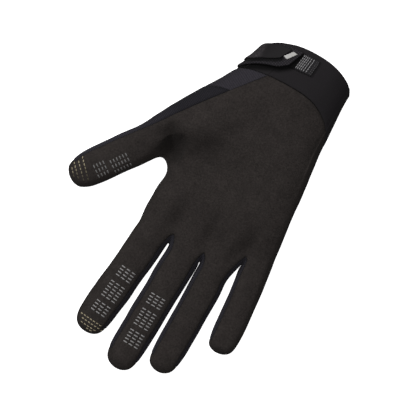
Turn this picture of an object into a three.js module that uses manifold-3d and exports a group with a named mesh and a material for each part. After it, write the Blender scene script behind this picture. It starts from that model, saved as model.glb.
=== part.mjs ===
// A right-hand full-finger cycling glove, palm up, filled out as if worn and resting on its back.
// +Z points out of the palm, +Y to the cuff, -Y to the fingertips and -X to the thumb. Millimetres.
//
// The outer surface is one net of quads. An upper sheet covers the palm side and a lower sheet covers the
// back, both with the same rows and columns, and a side strip two quads high joins them along the outline.
// Each quad belongs to one panel, and each panel becomes a closed wall of its own thickness.
import * as THREE from "three";
import { mergeVertices } from "three/addons/utils/BufferGeometryUtils.js";
import Module from "manifold-3d";

const wasm = await Module();
wasm.setup();

// Overall sizes
const gloveLength = 235; // middle fingertip to the cuff's edge
const palmBreadth = 90; // across the knuckles
const seamGap = 0.3; // between neighbouring panels

// Wall thickness of each panel
const palmWall = 1.2;
const backWall = 1.1;
const fourchetteWall = 1;
const gussetWall = 1.1;
const thumbSideWall = 1.1;
const cuffWall = 2;

// Heights of the filled-out form
const cuffThick = 35;
const wristThick = 32;
const palmThick = 27;
const knuckleThick = 20;
const webThick = 11;
const thumbWebThick = 9;
const webEase = 3; // how much thicker the palm's edge is than the thumb's web beside it
const backFlatness = 1.15; // over 1, the back is flat where it rests
const thumbLift = 3.2; // the thumb's root above the surface

// Cuff and wrist
const cuffDropLeft = 8.8; // how far the cuff's edge falls towards the thumb side
const cuffDropRight = 12; // and towards the little finger side
const cuffArchLeft = 1.6; // 1 for a pointed dip at that side, more for a rounder one
const cuffArchRight = 1.3;
const cuffHeight = 26; // cuff edge to palm seam, along the middle of the palm
const cuffSeamDropLeft = 6.5; // how far that seam falls towards the thumb side
const cuffSeamDropRight = 22.5; // and towards the little finger side
const backSeamRise = 6;
const gussetHeight = 19;

// Mounds of the thumb's base and the heel of the hand, and the hollow between them. Their places are shares
// of the palm's breadth and of the glove's length
const palmForms = [
  { x: -0.17, y: 0.2, rise: 2, reach: 26 },
  { x: 0.5, y: 0.2, rise: 2.5, reach: 22 },
  { x: 0.2, y: 0.12, rise: -3, reach: 26 },
];

// Fingers: width, thickness, length from the crotch level to the tip, and how far the tip curls up
const fingers = {
  index: { width: 22.9, thick: 17, length: 78.8, lean: 5.3, bow: 0.1, curl: 5 },
  middle: { width: 22.3, thick: 17, length: 89, lean: 1.2, bow: 0, curl: 6 },
  ring: { width: 20.7, thick: 16.5, length: 79, lean: -0.6, bow: 0.6, curl: 5 },
  little: { width: 19.4, thick: 15.5, length: 59.4, lean: -5.7, bow: 0.8, curl: 4 },
};
const thumb = { width: 23.6, thick: 20.5, length: 56.7, lean: 34.9, bow: -0.2, curl: -1.5 };

// Where each finger starts, as shares of the palm's breadth in x and of the glove's length in y
const rootPlaces = {
  index: { x: -0.074, y: -0.123 },
  middle: { x: 0.188, y: -0.123 },
  ring: { x: 0.428, y: -0.118 },
  little: { x: 0.675, y: -0.078 },
};
const crotchPlaces = {
  indexMiddle: { x: 0.054, y: -0.122 },
  middleRing: { x: 0.307, y: -0.125 },
  ringLittle: { x: 0.574, y: -0.077 },
  thumbIndex: { x: -0.28, y: 0.054 },
};
const thumbRoot = { x: -0.418, y: 0.08 };

// Rings along a finger. Shares of its length, width, thickness and curl, with the seam's angle off the side
const fingerRings = [
  { along: 0.07, width: 1.02, thick: 1.04, curl: 0, seam: 42 },
  { along: 0.18, width: 1.02, thick: 1.01, curl: 0.01, seam: 41 },
  { along: 0.31, width: 1.01, thick: 1, curl: 0.03, seam: 40 },
  { along: 0.44, width: 1, thick: 1, curl: 0.1, seam: 40 },
  { along: 0.57, width: 1.01, thick: 0.98, curl: 0.22, seam: 40 },
  { along: 0.7, width: 1.01, thick: 0.96, curl: 0.42, seam: 40 },
  { along: 0.81, width: 0.98, thick: 0.92, curl: 0.64, seam: 38 },
  { along: 0.89, width: 0.9, thick: 0.84, curl: 0.82, seam: 34 },
  { along: 0.945, width: 0.77, thick: 0.68, curl: 0.94, seam: 36 },
];
const thumbRings = [
  { along: 0.09, width: 0.99, thick: 1, curl: 0, seam: 40 },
  { along: 0.2, width: 1, thick: 0.99, curl: 0.05, seam: 40 },
  { along: 0.33, width: 1, thick: 0.97, curl: 0.15, seam: 39 },
  { along: 0.46, width: 1, thick: 0.96, curl: 0.3, seam: 38 },
  { along: 0.59, width: 1, thick: 0.95, curl: 0.45, seam: 37 },
  { along: 0.71, width: 0.98, thick: 0.92, curl: 0.65, seam: 36 },
  { along: 0.81, width: 0.92, thick: 0.86, curl: 0.8, seam: 36 },
  { along: 0.88, width: 0.83, thick: 0.76, curl: 0.9, seam: 37 },
  { along: 0.935, width: 0.7, thick: 0.62, curl: 0.97, seam: 40 },
];
const rootRing = { along: 0, width: 1.03, thick: 1.1, curl: 0, seam: 42 };
const thumbRootRing = { along: -0.02, width: 1.02, thick: 1.02, curl: 0, seam: 46 };
const tipCapStart = 0.9; // share of the length where a fingertip's round end begins

// Outlines seen from above, from the cuff down. Shares of the glove's length in y, palm's breadth in x
const wristOutline = [
  { y: 0.5, left: -0.01, right: 0.62 },
  { y: 0.475, left: -0.03, right: 0.638 },
  { y: 0.44, left: -0.052, right: 0.641 },
  { y: 0.41, left: -0.079, right: 0.643 },
  { y: 0.378, left: -0.123, right: 0.648 },
  { y: 0.355, left: -0.16, right: 0.652 },
  { y: 0.312, left: -0.225, right: 0.657 },
  { y: 0.265, left: -0.305, right: 0.667 },
  { y: 0.2, left: -0.41, right: 0.69 },
];
const rightOutline = [
  { y: 0.26, x: 0.668 },
  { y: 0.166, x: 0.703 },
  { y: 0.1, x: 0.72 },
  { y: 0.053, x: 0.735 },
  { y: 0.005, x: 0.755 },
  { y: -0.044, x: 0.772 },
  { y: -0.078, x: 0.785 },
];
const indexSide = -0.214;
const sideInset = 0.03; // from the outline to the first column of the sheets
const crotchInset = 2.8; // from a crotch to the edge of the sheets
const crotchSlope = 4; // how much further the strips and the back reach down between the fingers than the palm
const thumbBaseBulge = 0.6;
const webDipReach = 2.2; // columns over which the palm dips beside the thumb's web
const webDipFade = 4; // how soon that dip ends towards the wrist, 1 for an even slope

// Net: rows from the cuff to the finger roots, columns from the thumb side to the little finger side
const cuffRows = 4;
const gussetRows = 3;
const thenarRows = 6;
const knuckleRows = 5;
const thumbColumns = 6;
const fingerColumns = 4;
const seamColumn = 2;

const thumbWebColumn = thumbColumns;
const lastColumn = thumbColumns + 4 * fingerColumns;
const seamRow = cuffRows;
const gussetRow = seamRow + gussetRows;
const thumbWebRow = gussetRow + thenarRows;
const rootRow = thumbWebRow + knuckleRows;
const fourchetteEndRing = 8;

const radians = Math.PI / 180;
const lerp = THREE.MathUtils.lerp;
const cuffEdgeY = gloveLength / 2;

// Interpolates a named column of a table along another
function lookUp(table, key, at, column) {
  const down = table[0][key] > table[table.length - 1][key];
  let low = 0;
  while (low < table.length - 2 && (down ? at < table[low + 1][key] : at > table[low + 1][key])) low += 1;
  const start = table[low];
  const end = table[low + 1];
  const share = THREE.MathUtils.clamp((at - start[key]) / (end[key] - start[key]), 0, 1);
  return lerp(start[column], end[column], share);
}

// Keeps a number's sign through a power, as a rounded-box section needs
function signedPower(value, power) {
  return Math.sign(value) * Math.abs(value) ** power;
}

// A point of the wrist's cross-section at an angle, counted from the little finger side over the palm
const wristSquareness = 0.84;
function wristPoint(angle, y) {
  const share = y / gloveLength;
  const left = lookUp(wristOutline, "y", share, "left") * palmBreadth;
  const right = lookUp(wristOutline, "y", share, "right") * palmBreadth;
  const towardsCuff = THREE.MathUtils.smoothstep(y, cuffEdgeY - cuffHeight - gussetHeight, cuffEdgeY);
  const half = lerp(wristThick, cuffThick, towardsCuff) / 2;
  const across = ((right - left) / 2) * signedPower(Math.cos(angle * radians), wristSquareness);
  const up = half * signedPower(Math.sin(angle * radians), wristSquareness);
  return new THREE.Vector3((left + right) / 2 + across, y, half + up);
}

function cuffEdge(angle) {
  const onLeft = Math.cos(angle * radians) < 0;
  const drop = onLeft ? cuffDropLeft : cuffDropRight;
  const arch = onLeft ? cuffArchLeft : cuffArchRight;
  return cuffEdgeY - drop * (1 - Math.abs(Math.sin(angle * radians)) ** arch);
}

// The seam between the cuff and the hand, arched on the palm and nearly straight on the back
function cuffSeam(angle) {
  const palmSide = Math.sin(angle * radians) >= 0;
  const drop = Math.cos(angle * radians) < 0 ? cuffSeamDropLeft : cuffSeamDropRight;
  const height = palmSide ? cuffHeight : cuffHeight + backSeamRise * Math.abs(Math.sin(angle * radians));
  return cuffEdgeY - height - drop * (1 - Math.abs(Math.sin(angle * radians)));
}

function gussetSeam(angle) {
  return cuffSeam(angle) - gussetHeight;
}

// Angles of the columns on a wrist section, with the gusset's seam at the given angle
const wristEdgeAngle = 22;
function wristColumnAngle(column, seamAngle) {
  const first = 180 - wristEdgeAngle;
  if (column <= seamColumn) return lerp(first, seamAngle, column / seamColumn);
  return lerp(seamAngle, wristEdgeAngle, (column - seamColumn) / (lastColumn - seamColumn));
}

const cuffSeamColumnAngle = 118;
const gussetSeamColumnAngle = 131;

// Body rows: upper points, lower points and the two side points of one row
function wristRow(row) {
  const inCuff = row <= seamRow;
  const share = inCuff ? row / cuffRows : (row - seamRow) / gussetRows;
  const seamAngle = inCuff ? cuffSeamColumnAngle : lerp(cuffSeamColumnAngle, gussetSeamColumnAngle, share);
  const yAt = (angle) =>
    inCuff ? lerp(cuffEdge(angle), cuffSeam(angle), share) : lerp(cuffSeam(angle), gussetSeam(angle), share);
  const upper = [];
  const lower = [];
  for (let column = 0; column <= lastColumn; column += 1) {
    const angle = wristColumnAngle(column, seamAngle);
    upper.push(wristPoint(angle, yAt(angle)));
    lower.push(wristPoint(-angle, yAt(-angle)));
  }
  return { upper, lower, left: wristPoint(180, yAt(180)), right: wristPoint(0, yAt(0)) };
}

// A finger's frame: axis along the finger, side across it towards the little finger
function makeFinger(shape, rings, root, height, columns) {
  const lean = shape.lean * radians;
  const axis = new THREE.Vector3(-Math.sin(lean), -Math.cos(lean), 0);
  const side = new THREE.Vector3(Math.cos(lean), -Math.sin(lean), 0);
  return { ...shape, rings, columns, height, axis, side, root };
}

const squareness = 0.92; // of a finger's section, 1 being an ellipse

// A point of a finger's skin, at a share of its length and an angle, on a ring of the given shares
function ringPoint(finger, ring, angle) {
  const bow = finger.bow * Math.sin(Math.PI * Math.min(1, ring.along));
  const across = (finger.width / 2) * ring.width * signedPower(Math.cos(angle * radians), squareness) + bow;
  const up = (finger.thick / 2) * ring.thick * signedPower(Math.sin(angle * radians), squareness);
  return finger.root
    .clone()
    .addScaledVector(finger.axis, finger.length * ring.along)
    .addScaledVector(finger.side, across)
    .add(new THREE.Vector3(0, 0, finger.height + finger.curl * ring.curl + up));
}

// Angles of a finger's upper columns. The thumb's outer seam has two more columns outside it
const outerColumnShare = 0.35;
function fingerColumnAngle(column, columns, seam) {
  const inner = columns === thumbColumns ? seamColumn : 0;
  if (column < inner) return lerp(180 - seam * outerColumnShare, 180 - seam, column / inner);
  return lerp(180 - seam, seam, (column - inner) / (columns - inner));
}

// Side point of the round end, from one corner of the last ring to the other
function tipPoint(finger, share) {
  const last = finger.rings[finger.rings.length - 1];
  const corner = Math.asin((last.along - tipCapStart) / (1 - tipCapStart));
  const turn = lerp(Math.PI - corner, corner, share);
  const along = lerp(tipCapStart, 1, Math.sin(turn));
  const across = (Math.cos(turn) / Math.cos(corner)) * last.width;
  return finger.root
    .clone()
    .addScaledVector(finger.axis, finger.length * along)
    .addScaledVector(finger.side, (finger.width / 2) * across)
    .add(new THREE.Vector3(0, 0, finger.height + finger.curl));
}

function planPoint(place, z) {
  return new THREE.Vector3(place.x * palmBreadth, place.y * gloveLength, z);
}

const fingerNames = ["index", "middle", "ring", "little"];
const crotchNames = ["indexMiddle", "middleRing", "ringLittle"];
const knuckleHalf = knuckleThick / 2;
const fingerModels = fingerNames.map((name) => {
  const shape = fingers[name];
  return makeFinger(shape, fingerRings, planPoint(rootPlaces[name], 0), shape.thick / 2, fingerColumns);
});
const thumbHeight = thumb.thick / 2 + thumbLift;
const thumbModel = makeFinger(thumb, thumbRings, planPoint(thumbRoot, 0), thumbHeight, thumbColumns);

// The last body row, where the four fingers start
function fingerRootRow() {
  const upper = [];
  const lower = [];
  for (let column = thumbWebColumn; column <= lastColumn; column += 1) {
    const place = column - thumbWebColumn;
    const index = Math.min(3, Math.floor(place / fingerColumns));
    const inside = place - index * fingerColumns;
    const onCrotch = inside === 0 && index > 0;
    if (onCrotch) {
      const web = planPoint(crotchPlaces[crotchNames[index - 1]], knuckleHalf);
      upper[column] = web.clone().add(new THREE.Vector3(0, crotchInset, webThick / 2));
      lower[column] = web.clone().add(new THREE.Vector3(0, crotchInset - crotchSlope, -webThick / 2));
    } else {
      const angle = fingerColumnAngle(inside, fingerColumns, rootRing.seam);
      upper[column] = ringPoint(fingerModels[index], rootRing, angle);
      lower[column] = resting(ringPoint(fingerModels[index], rootRing, -angle));
    }
  }
  const left = ringPoint(fingerModels[0], rootRing, 180);
  const right = ringPoint(fingerModels[3], rootRing, 0);
  return { upper, lower, left, right };
}

// The body row at the thumb's crotch: the thumb's own section, then the palm's
const palmSquareness = 2.6;
const palmEdgeShare = 0.02;
function thumbWebRowPoints(roots) {
  const upper = [];
  const lower = [];
  for (let column = 0; column < thumbColumns; column += 1) {
    const angle = fingerColumnAngle(column, thumbColumns, thumbRootRing.seam);
    upper[column] = ringPoint(thumbModel, thumbRootRing, angle);
    lower[column] = ringPoint(thumbModel, thumbRootRing, -angle);
  }
  const web = planPoint(crotchPlaces.thumbIndex, palmThick / 2);
  upper[thumbWebColumn] = web.clone().add(new THREE.Vector3(0, crotchInset, thumbWebThick / 2));
  lower[thumbWebColumn] = web.clone().add(new THREE.Vector3(0, crotchInset, -thumbWebThick / 2));
  const first = roots.upper[thumbWebColumn].x;
  const span = roots.upper[lastColumn].x - first;
  const y = crotchPlaces.thumbIndex.y * gloveLength;
  const right = lookUp(rightOutline, "y", crotchPlaces.thumbIndex.y, "x") * palmBreadth;
  const left = web.x;
  for (let column = thumbWebColumn + 1; column <= lastColumn; column += 1) {
    const share = (roots.upper[column].x - first) / span;
    const x = lerp(left, right, lerp(palmEdgeShare, 1 - palmEdgeShare, share));
    const off = Math.abs((2 * x - left - right) / (right - left));
    const rise = (1 - off ** palmSquareness) ** (1 / palmSquareness);
    upper[column] = new THREE.Vector3(x, y, (palmThick / 2) * (1 + rise));
    lower[column] = new THREE.Vector3(x, y, Math.max(0, (palmThick / 2) * (1 - rise * backFlatness)));
  }
  return {
    upper,
    lower,
    left: ringPoint(thumbModel, thumbRootRing, 180),
    right: new THREE.Vector3(right, y, palmThick / 2),
  };
}

// Height that the mounds and the hollow add to the palm side
function palmRelief(point) {
  let height = 0;
  for (const form of palmForms) {
    const dx = point.x - form.x * palmBreadth;
    const dy = point.y - form.y * gloveLength;
    height += form.rise * Math.exp(-(dx * dx + dy * dy) / (form.reach * form.reach));
  }
  return height;
}

// Rows between two finished rows, column by column
function rowBetween(from, to, share, firstColumn) {
  const ease = share * share * (3 - 2 * share);
  const mix = (a, b) => {
    const point = a.clone().lerp(b, share);
    point.z = lerp(a.z, b.z, ease);
    return point;
  };
  const upper = [];
  const lower = [];
  for (let column = firstColumn; column <= lastColumn; column += 1) {
    upper[column] = mix(from.upper[column], to.upper[column]);
    lower[column] = mix(from.lower[column], to.lower[column]);
  }
  return { upper, lower, left: mix(from.left, to.left), right: mix(from.right, to.right) };
}

function shiftRow(row, firstColumn, leftShift, rightShift) {
  for (const sheet of [row.upper, row.lower]) {
    const start = sheet[firstColumn].x;
    const span = sheet[lastColumn].x - start;
    for (let column = firstColumn; column <= lastColumn; column += 1) {
      const share = (sheet[column].x - start) / span;
      sheet[column].x += lerp(leftShift, rightShift, share);
    }
  }
  row.left.x += leftShift;
  row.right.x += rightShift;
}

// Keeps the dip beside the thumb's web short, so that the thumb's mound is full above it
function endWebDip(row, from, to, share) {
  row.forEach((point, column) => {
    const near = Math.exp(-(((column - thumbWebColumn) / webDipReach) ** 2));
    const short = lerp(from[column].z, to[column].z, share ** webDipFade);
    point.z = lerp(point.z, short, near);
  });
}

function bodyRows() {
  const rows = [];
  for (let row = 0; row <= gussetRow; row += 1) rows.push(wristRow(row));
  const roots = fingerRootRow();
  const webs = thumbWebRowPoints(roots);
  for (let step = 1; step < thenarRows; step += 1) {
    const share = step / thenarRows;
    const row = rowBetween(rows[gussetRow], webs, share, 0);
    const right = lookUp(rightOutline, "y", row.right.y / gloveLength, "x") * palmBreadth;
    shiftRow(row, 0, -thumbBaseBulge * Math.sin(Math.PI * share), right - row.right.x);
    endWebDip(row.upper, rows[gussetRow].upper, webs.upper, share);
    rows.push(row);
  }
  rows.push(webs);
  const sideStart = { ...webs, left: webs.upper[thumbWebColumn].clone() };
  sideStart.left.z = palmThick / 2;
  for (let step = 1; step < knuckleRows; step += 1) {
    const row = rowBetween(sideStart, roots, step / knuckleRows, thumbWebColumn);
    const right = lookUp(rightOutline, "y", row.right.y / gloveLength, "x") * palmBreadth;
    const left = indexSide * palmBreadth;
    shiftRow(row, thumbWebColumn, left - row.left.x, right - row.right.x);
    const edge = row.upper[thumbWebColumn];
    edge.x = Math.max(edge.x, left + sideInset * palmBreadth);
    edge.z = lerp(webs.upper[thumbWebColumn].z + webEase, roots.upper[thumbWebColumn].z, step / knuckleRows);
    const under = row.lower[thumbWebColumn];
    const underStart = webs.lower[thumbWebColumn].z - webEase;
    under.x = edge.x;
    under.z = lerp(underStart, roots.lower[thumbWebColumn].z, step / knuckleRows);
    rows.push(row);
  }
  rows.push(roots);
  for (const row of rows) row.upper.forEach((point) => (point.z += palmRelief(point)));
  return rows;
}

// The net: its points, and its quads with the panel that each belongs to
const points = [];
const quads = [];
function addPoint(point) {
  points.push(point);
  return points.length - 1;
}
function addQuad(panel, a, b, c, d) {
  quads.push({ panel, corners: [a, b, c, d] });
}

function sheetQuads(from, to, firstColumn, columns, panelAt) {
  for (let step = 0; step < columns; step += 1) {
    const column = firstColumn + step;
    const upper = panelAt(column, true);
    const lower = panelAt(column, false);
    addQuad(upper, from.upper[column], to.upper[column], to.upper[column + 1], from.upper[column + 1]);
    addQuad(lower, from.lower[column + 1], to.lower[column + 1], to.lower[column], from.lower[column]);
  }
}

function bodyPanel(row, column, onPalm) {
  if (row < seamRow) return onPalm && column < seamColumn ? "wrist_gusset" : "cuff";
  if (row < gussetRow && column < seamColumn) return "wrist_gusset";
  if (row < thumbWebRow && column < seamColumn) return "thumb_side_panel";
  return onPalm ? "palm_panel" : "back_panel";
}

// A stop on the outline: its upper and lower points in the sheets, its side point, and the two panels of the
// strip from here to the next stop
function stop(upper, side, lower, panels) {
  return { upper, lower, side: addPoint(side), panels };
}

function netRow(row) {
  return { ...row, upper: row.upper.map(addPoint), lower: row.lower.map(addPoint) };
}

// Keeps a point of the back from sinking below the surface that the glove rests on
function resting(point) {
  return point.setZ(Math.max(0, point.z));
}

// One finger's rings and round end, from the body row that it grows from. Returns its stops, left to right
function addFinger(finger, start, firstColumn, leftPanels, rightPanels) {
  const isThumb = finger.columns === thumbColumns;
  const rings = finger.rings.map((ring) => {
    const upper = [];
    const lower = [];
    for (let step = 0; step <= finger.columns; step += 1) {
      const angle = fingerColumnAngle(step, finger.columns, ring.seam);
      upper[firstColumn + step] = addPoint(ringPoint(finger, ring, angle));
      lower[firstColumn + step] = addPoint(resting(ringPoint(finger, ring, -angle)));
    }
    return { upper, lower, left: ringPoint(finger, ring, 180), right: ringPoint(finger, ring, 0) };
  });
  let from = start;
  rings.forEach((ring, index) => {
    const sidePanel = isThumb && index < fourchetteEndRing;
    sheetQuads(from, ring, firstColumn, finger.columns, (column, onPalm) => {
      if (sidePanel && column < seamColumn) return "thumb_side_panel";
      return onPalm ? "palm_panel" : "back_panel";
    });
    from = ring;
  });
  const split = ["palm_panel", "back_panel"];
  const stops = [];
  const last = rings.length - 1;
  for (let index = 0; index < last; index += 1) {
    const ring = rings[index];
    const panels = index + 1 < fourchetteEndRing ? leftPanels : split;
    stops.push(stop(ring.upper[firstColumn], ring.left, ring.lower[firstColumn], panels));
  }
  for (let step = 0; step <= finger.columns; step += 1) {
    const column = firstColumn + step;
    const tip = tipPoint(finger, step / finger.columns);
    stops.push(stop(rings[last].upper[column], tip, rings[last].lower[column], split));
  }
  const end = firstColumn + finger.columns;
  for (let index = last - 1; index >= 0; index -= 1) {
    const ring = rings[index];
    const panels = index < fourchetteEndRing ? rightPanels : split;
    stops.push(stop(ring.upper[end], ring.right, ring.lower[end], panels));
  }
  return stops;
}

function buildNet() {
  const rows = bodyRows().map(netRow);
  for (let row = 0; row < rootRow; row += 1) {
    const first = row < thumbWebRow ? 0 : thumbWebColumn;
    sheetQuads(rows[row], rows[row + 1], first, lastColumn - first, (column, onPalm) =>
      bodyPanel(row, column, onPalm),
    );
  }
  const split = ["palm_panel", "back_panel"];
  const outer = ["thumb_side_panel", "thumb_side_panel"];
  const stops = [];
  for (let row = 0; row <= thumbWebRow; row += 1) {
    const panel = row < seamRow ? "cuff" : row < gussetRow ? "wrist_gusset" : "thumb_side_panel";
    stops.push(stop(rows[row].upper[0], rows[row].left, rows[row].lower[0], [panel, panel]));
  }
  stops.push(...addFinger(thumbModel, rows[thumbWebRow], 0, outer, split));
  const web = rows[thumbWebRow];
  const thumbCrotch = planPoint(crotchPlaces.thumbIndex, palmThick / 2);
  stops.push(stop(web.upper[thumbWebColumn], thumbCrotch, web.lower[thumbWebColumn], split));
  for (const row of rows.slice(thumbWebRow + 1)) {
    stops.push(stop(row.upper[thumbWebColumn], row.left, row.lower[thumbWebColumn], split));
  }
  const between = ["fourchette_index_middle", "fourchette_middle_ring", "fourchette_ring_little"];
  fingerModels.forEach((finger, index) => {
    const first = thumbWebColumn + index * fingerColumns;
    const left = index === 0 ? split : [between[index - 1], between[index - 1]];
    const right = index === 3 ? split : [between[index], between[index]];
    stops.push(...addFinger(finger, rows[rootRow], first, left, right));
    if (index < 3) {
      const column = first + fingerColumns;
      const crotch = planPoint(crotchPlaces[crotchNames[index]], knuckleHalf);
      crotch.y -= crotchSlope;
      stops.push(stop(rows[rootRow].upper[column], crotch, rows[rootRow].lower[column], right));
    }
  });
  for (let row = rootRow; row >= 0; row -= 1) {
    const panels = row <= seamRow ? ["cuff", "cuff"] : split;
    stops.push(stop(rows[row].upper[lastColumn], rows[row].right, rows[row].lower[lastColumn], panels));
  }
  for (let index = 0; index < stops.length - 1; index += 1) {
    const here = stops[index];
    const next = stops[index + 1];
    addQuad(here.panels[0], here.upper, here.side, next.side, next.upper);
    addQuad(here.panels[1], here.side, here.lower, next.lower, next.side);
  }
}
buildNet();

// Normals of the whole net, so that neighbouring panels share their rims' direction
function quadNormal(corners) {
  const across = points[corners[2]].clone().sub(points[corners[0]]);
  const other = points[corners[3]].clone().sub(points[corners[1]]);
  return across.cross(other);
}
const normals = points.map(() => new THREE.Vector3());
for (const quad of quads) {
  const normal = quadNormal(quad.corners).normalize();
  for (const corner of quad.corners) normals[corner].add(normal);
}
normals.forEach((normal) => normal.normalize());

// The way into a panel from each point of its edge, lengthened at a corner
const sharpestCorner = 0.6;
function inwardShifts(faces) {
  const seen = new Set();
  for (const face of faces) {
    face.corners.forEach((corner, index) => seen.add(`${corner} ${face.corners[(index + 1) % 4]}`));
  }
  const shifts = new Map();
  const edges = [];
  for (const face of faces) {
    const normal = quadNormal(face.corners).normalize();
    face.corners.forEach((corner, index) => {
      const next = face.corners[(index + 1) % 4];
      if (seen.has(`${next} ${corner}`)) return;
      edges.push([corner, next]);
      const inward = normal.clone().cross(points[next].clone().sub(points[corner]).normalize());
      for (const end of [corner, next]) {
        if (!shifts.has(end)) shifts.set(end, []);
        shifts.get(end).push(inward);
      }
    });
  }
  for (const [end, list] of shifts) {
    const sum = list.reduce((total, inward) => total.add(inward), new THREE.Vector3());
    const mean = sum.normalize();
    const reach = Math.max(sharpestCorner, mean.dot(list[0]));
    shifts.set(end, mean.divideScalar(reach));
  }
  return { shifts, edges };
}

// A closed wall from the quads of one panel, its outer face on the net
function panelGeometry(panel, wall) {
  const faces = quads.filter((quad) => quad.panel === panel);
  const { shifts, edges } = inwardShifts(faces);
  const places = new Map();
  const positions = [];
  const placeOf = (corner) => {
    if (!places.has(corner)) {
      const outer = points[corner].clone();
      if (shifts.has(corner)) outer.addScaledVector(shifts.get(corner), seamGap / 2);
      const inner = outer.clone().addScaledVector(normals[corner], -wall);
      places.set(corner, positions.length / 3);
      positions.push(...outer.toArray(), ...inner.toArray());
    }
    return places.get(corner);
  };
  const triangles = [];
  for (const face of faces) {
    const [a, b, c, d] = face.corners.map(placeOf);
    const ends = face.corners.map((corner) => points[corner]);
    const split = ends[0].distanceTo(ends[2]) <= ends[1].distanceTo(ends[3]);
    const pair = split ? [[a, b, c], [a, c, d]] : [[a, b, d], [b, c, d]];
    for (const [i, j, k] of pair) triangles.push(i, j, k, k + 1, j + 1, i + 1);
  }
  for (const [from, to] of edges) {
    const a = placeOf(from);
    const b = placeOf(to);
    if (from < to) triangles.push(b, a, a + 1, b, a + 1, b + 1);
    else triangles.push(b, a, b + 1, a, a + 1, b + 1);
  }
  const geometry = new THREE.BufferGeometry();
  geometry.setAttribute("position", new THREE.Float32BufferAttribute(positions, 3));
  geometry.setIndex(triangles);
  return geometry;
}

function toSolid(geometry) {
  const plain = geometry.clone();
  plain.deleteAttribute("normal");
  plain.deleteAttribute("uv");
  const merged = mergeVertices(plain, 1e-4);
  const vertProperties = new Float32Array(merged.attributes.position.array);
  const triVerts = new Uint32Array(merged.index.array);
  return new wasm.Manifold(new wasm.Mesh({ numProp: 3, vertProperties, triVerts }));
}

function toGeometry(solid) {
  const mesh = solid.getMesh();
  const geometry = new THREE.BufferGeometry();
  geometry.setAttribute("position", new THREE.Float32BufferAttribute(mesh.vertProperties, 3));
  geometry.setIndex([...mesh.triVerts]);
  return geometry;
}

// Raised grip dashes, in blocks of three columns along a finger. The thumb's are narrower by a share
const dash = {
  width: 2.8,
  length: 1,
  rise: 0.4,
  sink: 0.5,
  pitchAcross: 3.85,
  pitchAlong: 2.15,
  columns: 3,
};
const gripBlocks = {
  index: [
    { start: 0.39, rows: 4, across: 0.09, share: 1 },
    { start: 0.535, rows: 6, across: 0.07, share: 1 },
    { start: 0.728, rows: 4, across: 0.05, share: 1 },
  ],
  middle: [
    { start: 0.404, rows: 4, across: 0.01, share: 1 },
    { start: 0.529, rows: 6, across: 0.03, share: 1 },
    { start: 0.7, rows: 5, across: 0.06, share: 1 },
  ],
  thumb: [
    { start: 0.316, rows: 6, across: 0.45, share: 0.86 },
    { start: 0.582, rows: 4, across: 0.3, share: 0.86 },
  ],
};

// The skin's place and slope at a share of a finger's length and a distance across it, on the palm side
function skinAt(finger, along, across) {
  const rings = finger.rings;
  let low = 0;
  while (low < rings.length - 2 && along > rings[low + 1].along) low += 1;
  const share = (along - rings[low].along) / (rings[low + 1].along - rings[low].along);
  const line = [];
  for (let step = 0; step <= finger.columns; step += 1) {
    const ends = [low, low + 1].map((index) => {
      const angle = fingerColumnAngle(step, finger.columns, rings[index].seam);
      return ringPoint(finger, rings[index], angle);
    });
    line.push({ near: ends[0], far: ends[1], here: ends[0].clone().lerp(ends[1], share) });
  }
  const centre = finger.root.clone().addScaledVector(finger.axis, finger.length * along);
  const acrossOf = (stopHere) => stopHere.here.clone().sub(centre).dot(finger.side);
  let column = 0;
  while (column < line.length - 2 && across > acrossOf(line[column + 1])) column += 1;
  const start = line[column];
  const end = line[column + 1];
  const part = (across - acrossOf(start)) / (acrossOf(end) - acrossOf(start));
  const place = start.here.clone().lerp(end.here, part);
  const sideways = end.here.clone().sub(start.here).normalize();
  const forward = start.far.clone().sub(start.near).normalize();
  const up = forward.clone().cross(sideways).normalize();
  return { place, sideways, up };
}

function gripDashes() {
  const solids = [];
  for (const [name, blocks] of Object.entries(gripBlocks)) {
    const finger = name === "thumb" ? thumbModel : fingerModels[fingerNames.indexOf(name)];
    for (const block of blocks) {
      for (let row = 0; row < block.rows; row += 1) {
        for (let column = 0; column < dash.columns; column += 1) {
          const along = block.start + (row * dash.pitchAlong) / finger.length;
          const middle = (column - (dash.columns - 1) / 2) * dash.pitchAcross * block.share;
          const skin = skinAt(finger, along, middle + (block.across * finger.width) / 2);
          const forward = skin.sideways.clone().cross(skin.up);
          const box = new THREE.BoxGeometry(dash.width * block.share, dash.length, dash.rise + dash.sink);
          box.translate(0, 0, (dash.rise - dash.sink) / 2);
          const turn = new THREE.Matrix4().makeBasis(skin.sideways, forward.negate(), skin.up);
          box.applyMatrix4(turn.setPosition(skin.place));
          solids.push(toSolid(box));
        }
      }
    }
  }
  return solids;
}

function palmGeometry() {
  const panel = toSolid(panelGeometry("palm_panel", palmWall));
  return toGeometry(gripDashes().reduce((whole, part) => whole.add(part), panel));
}

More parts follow.
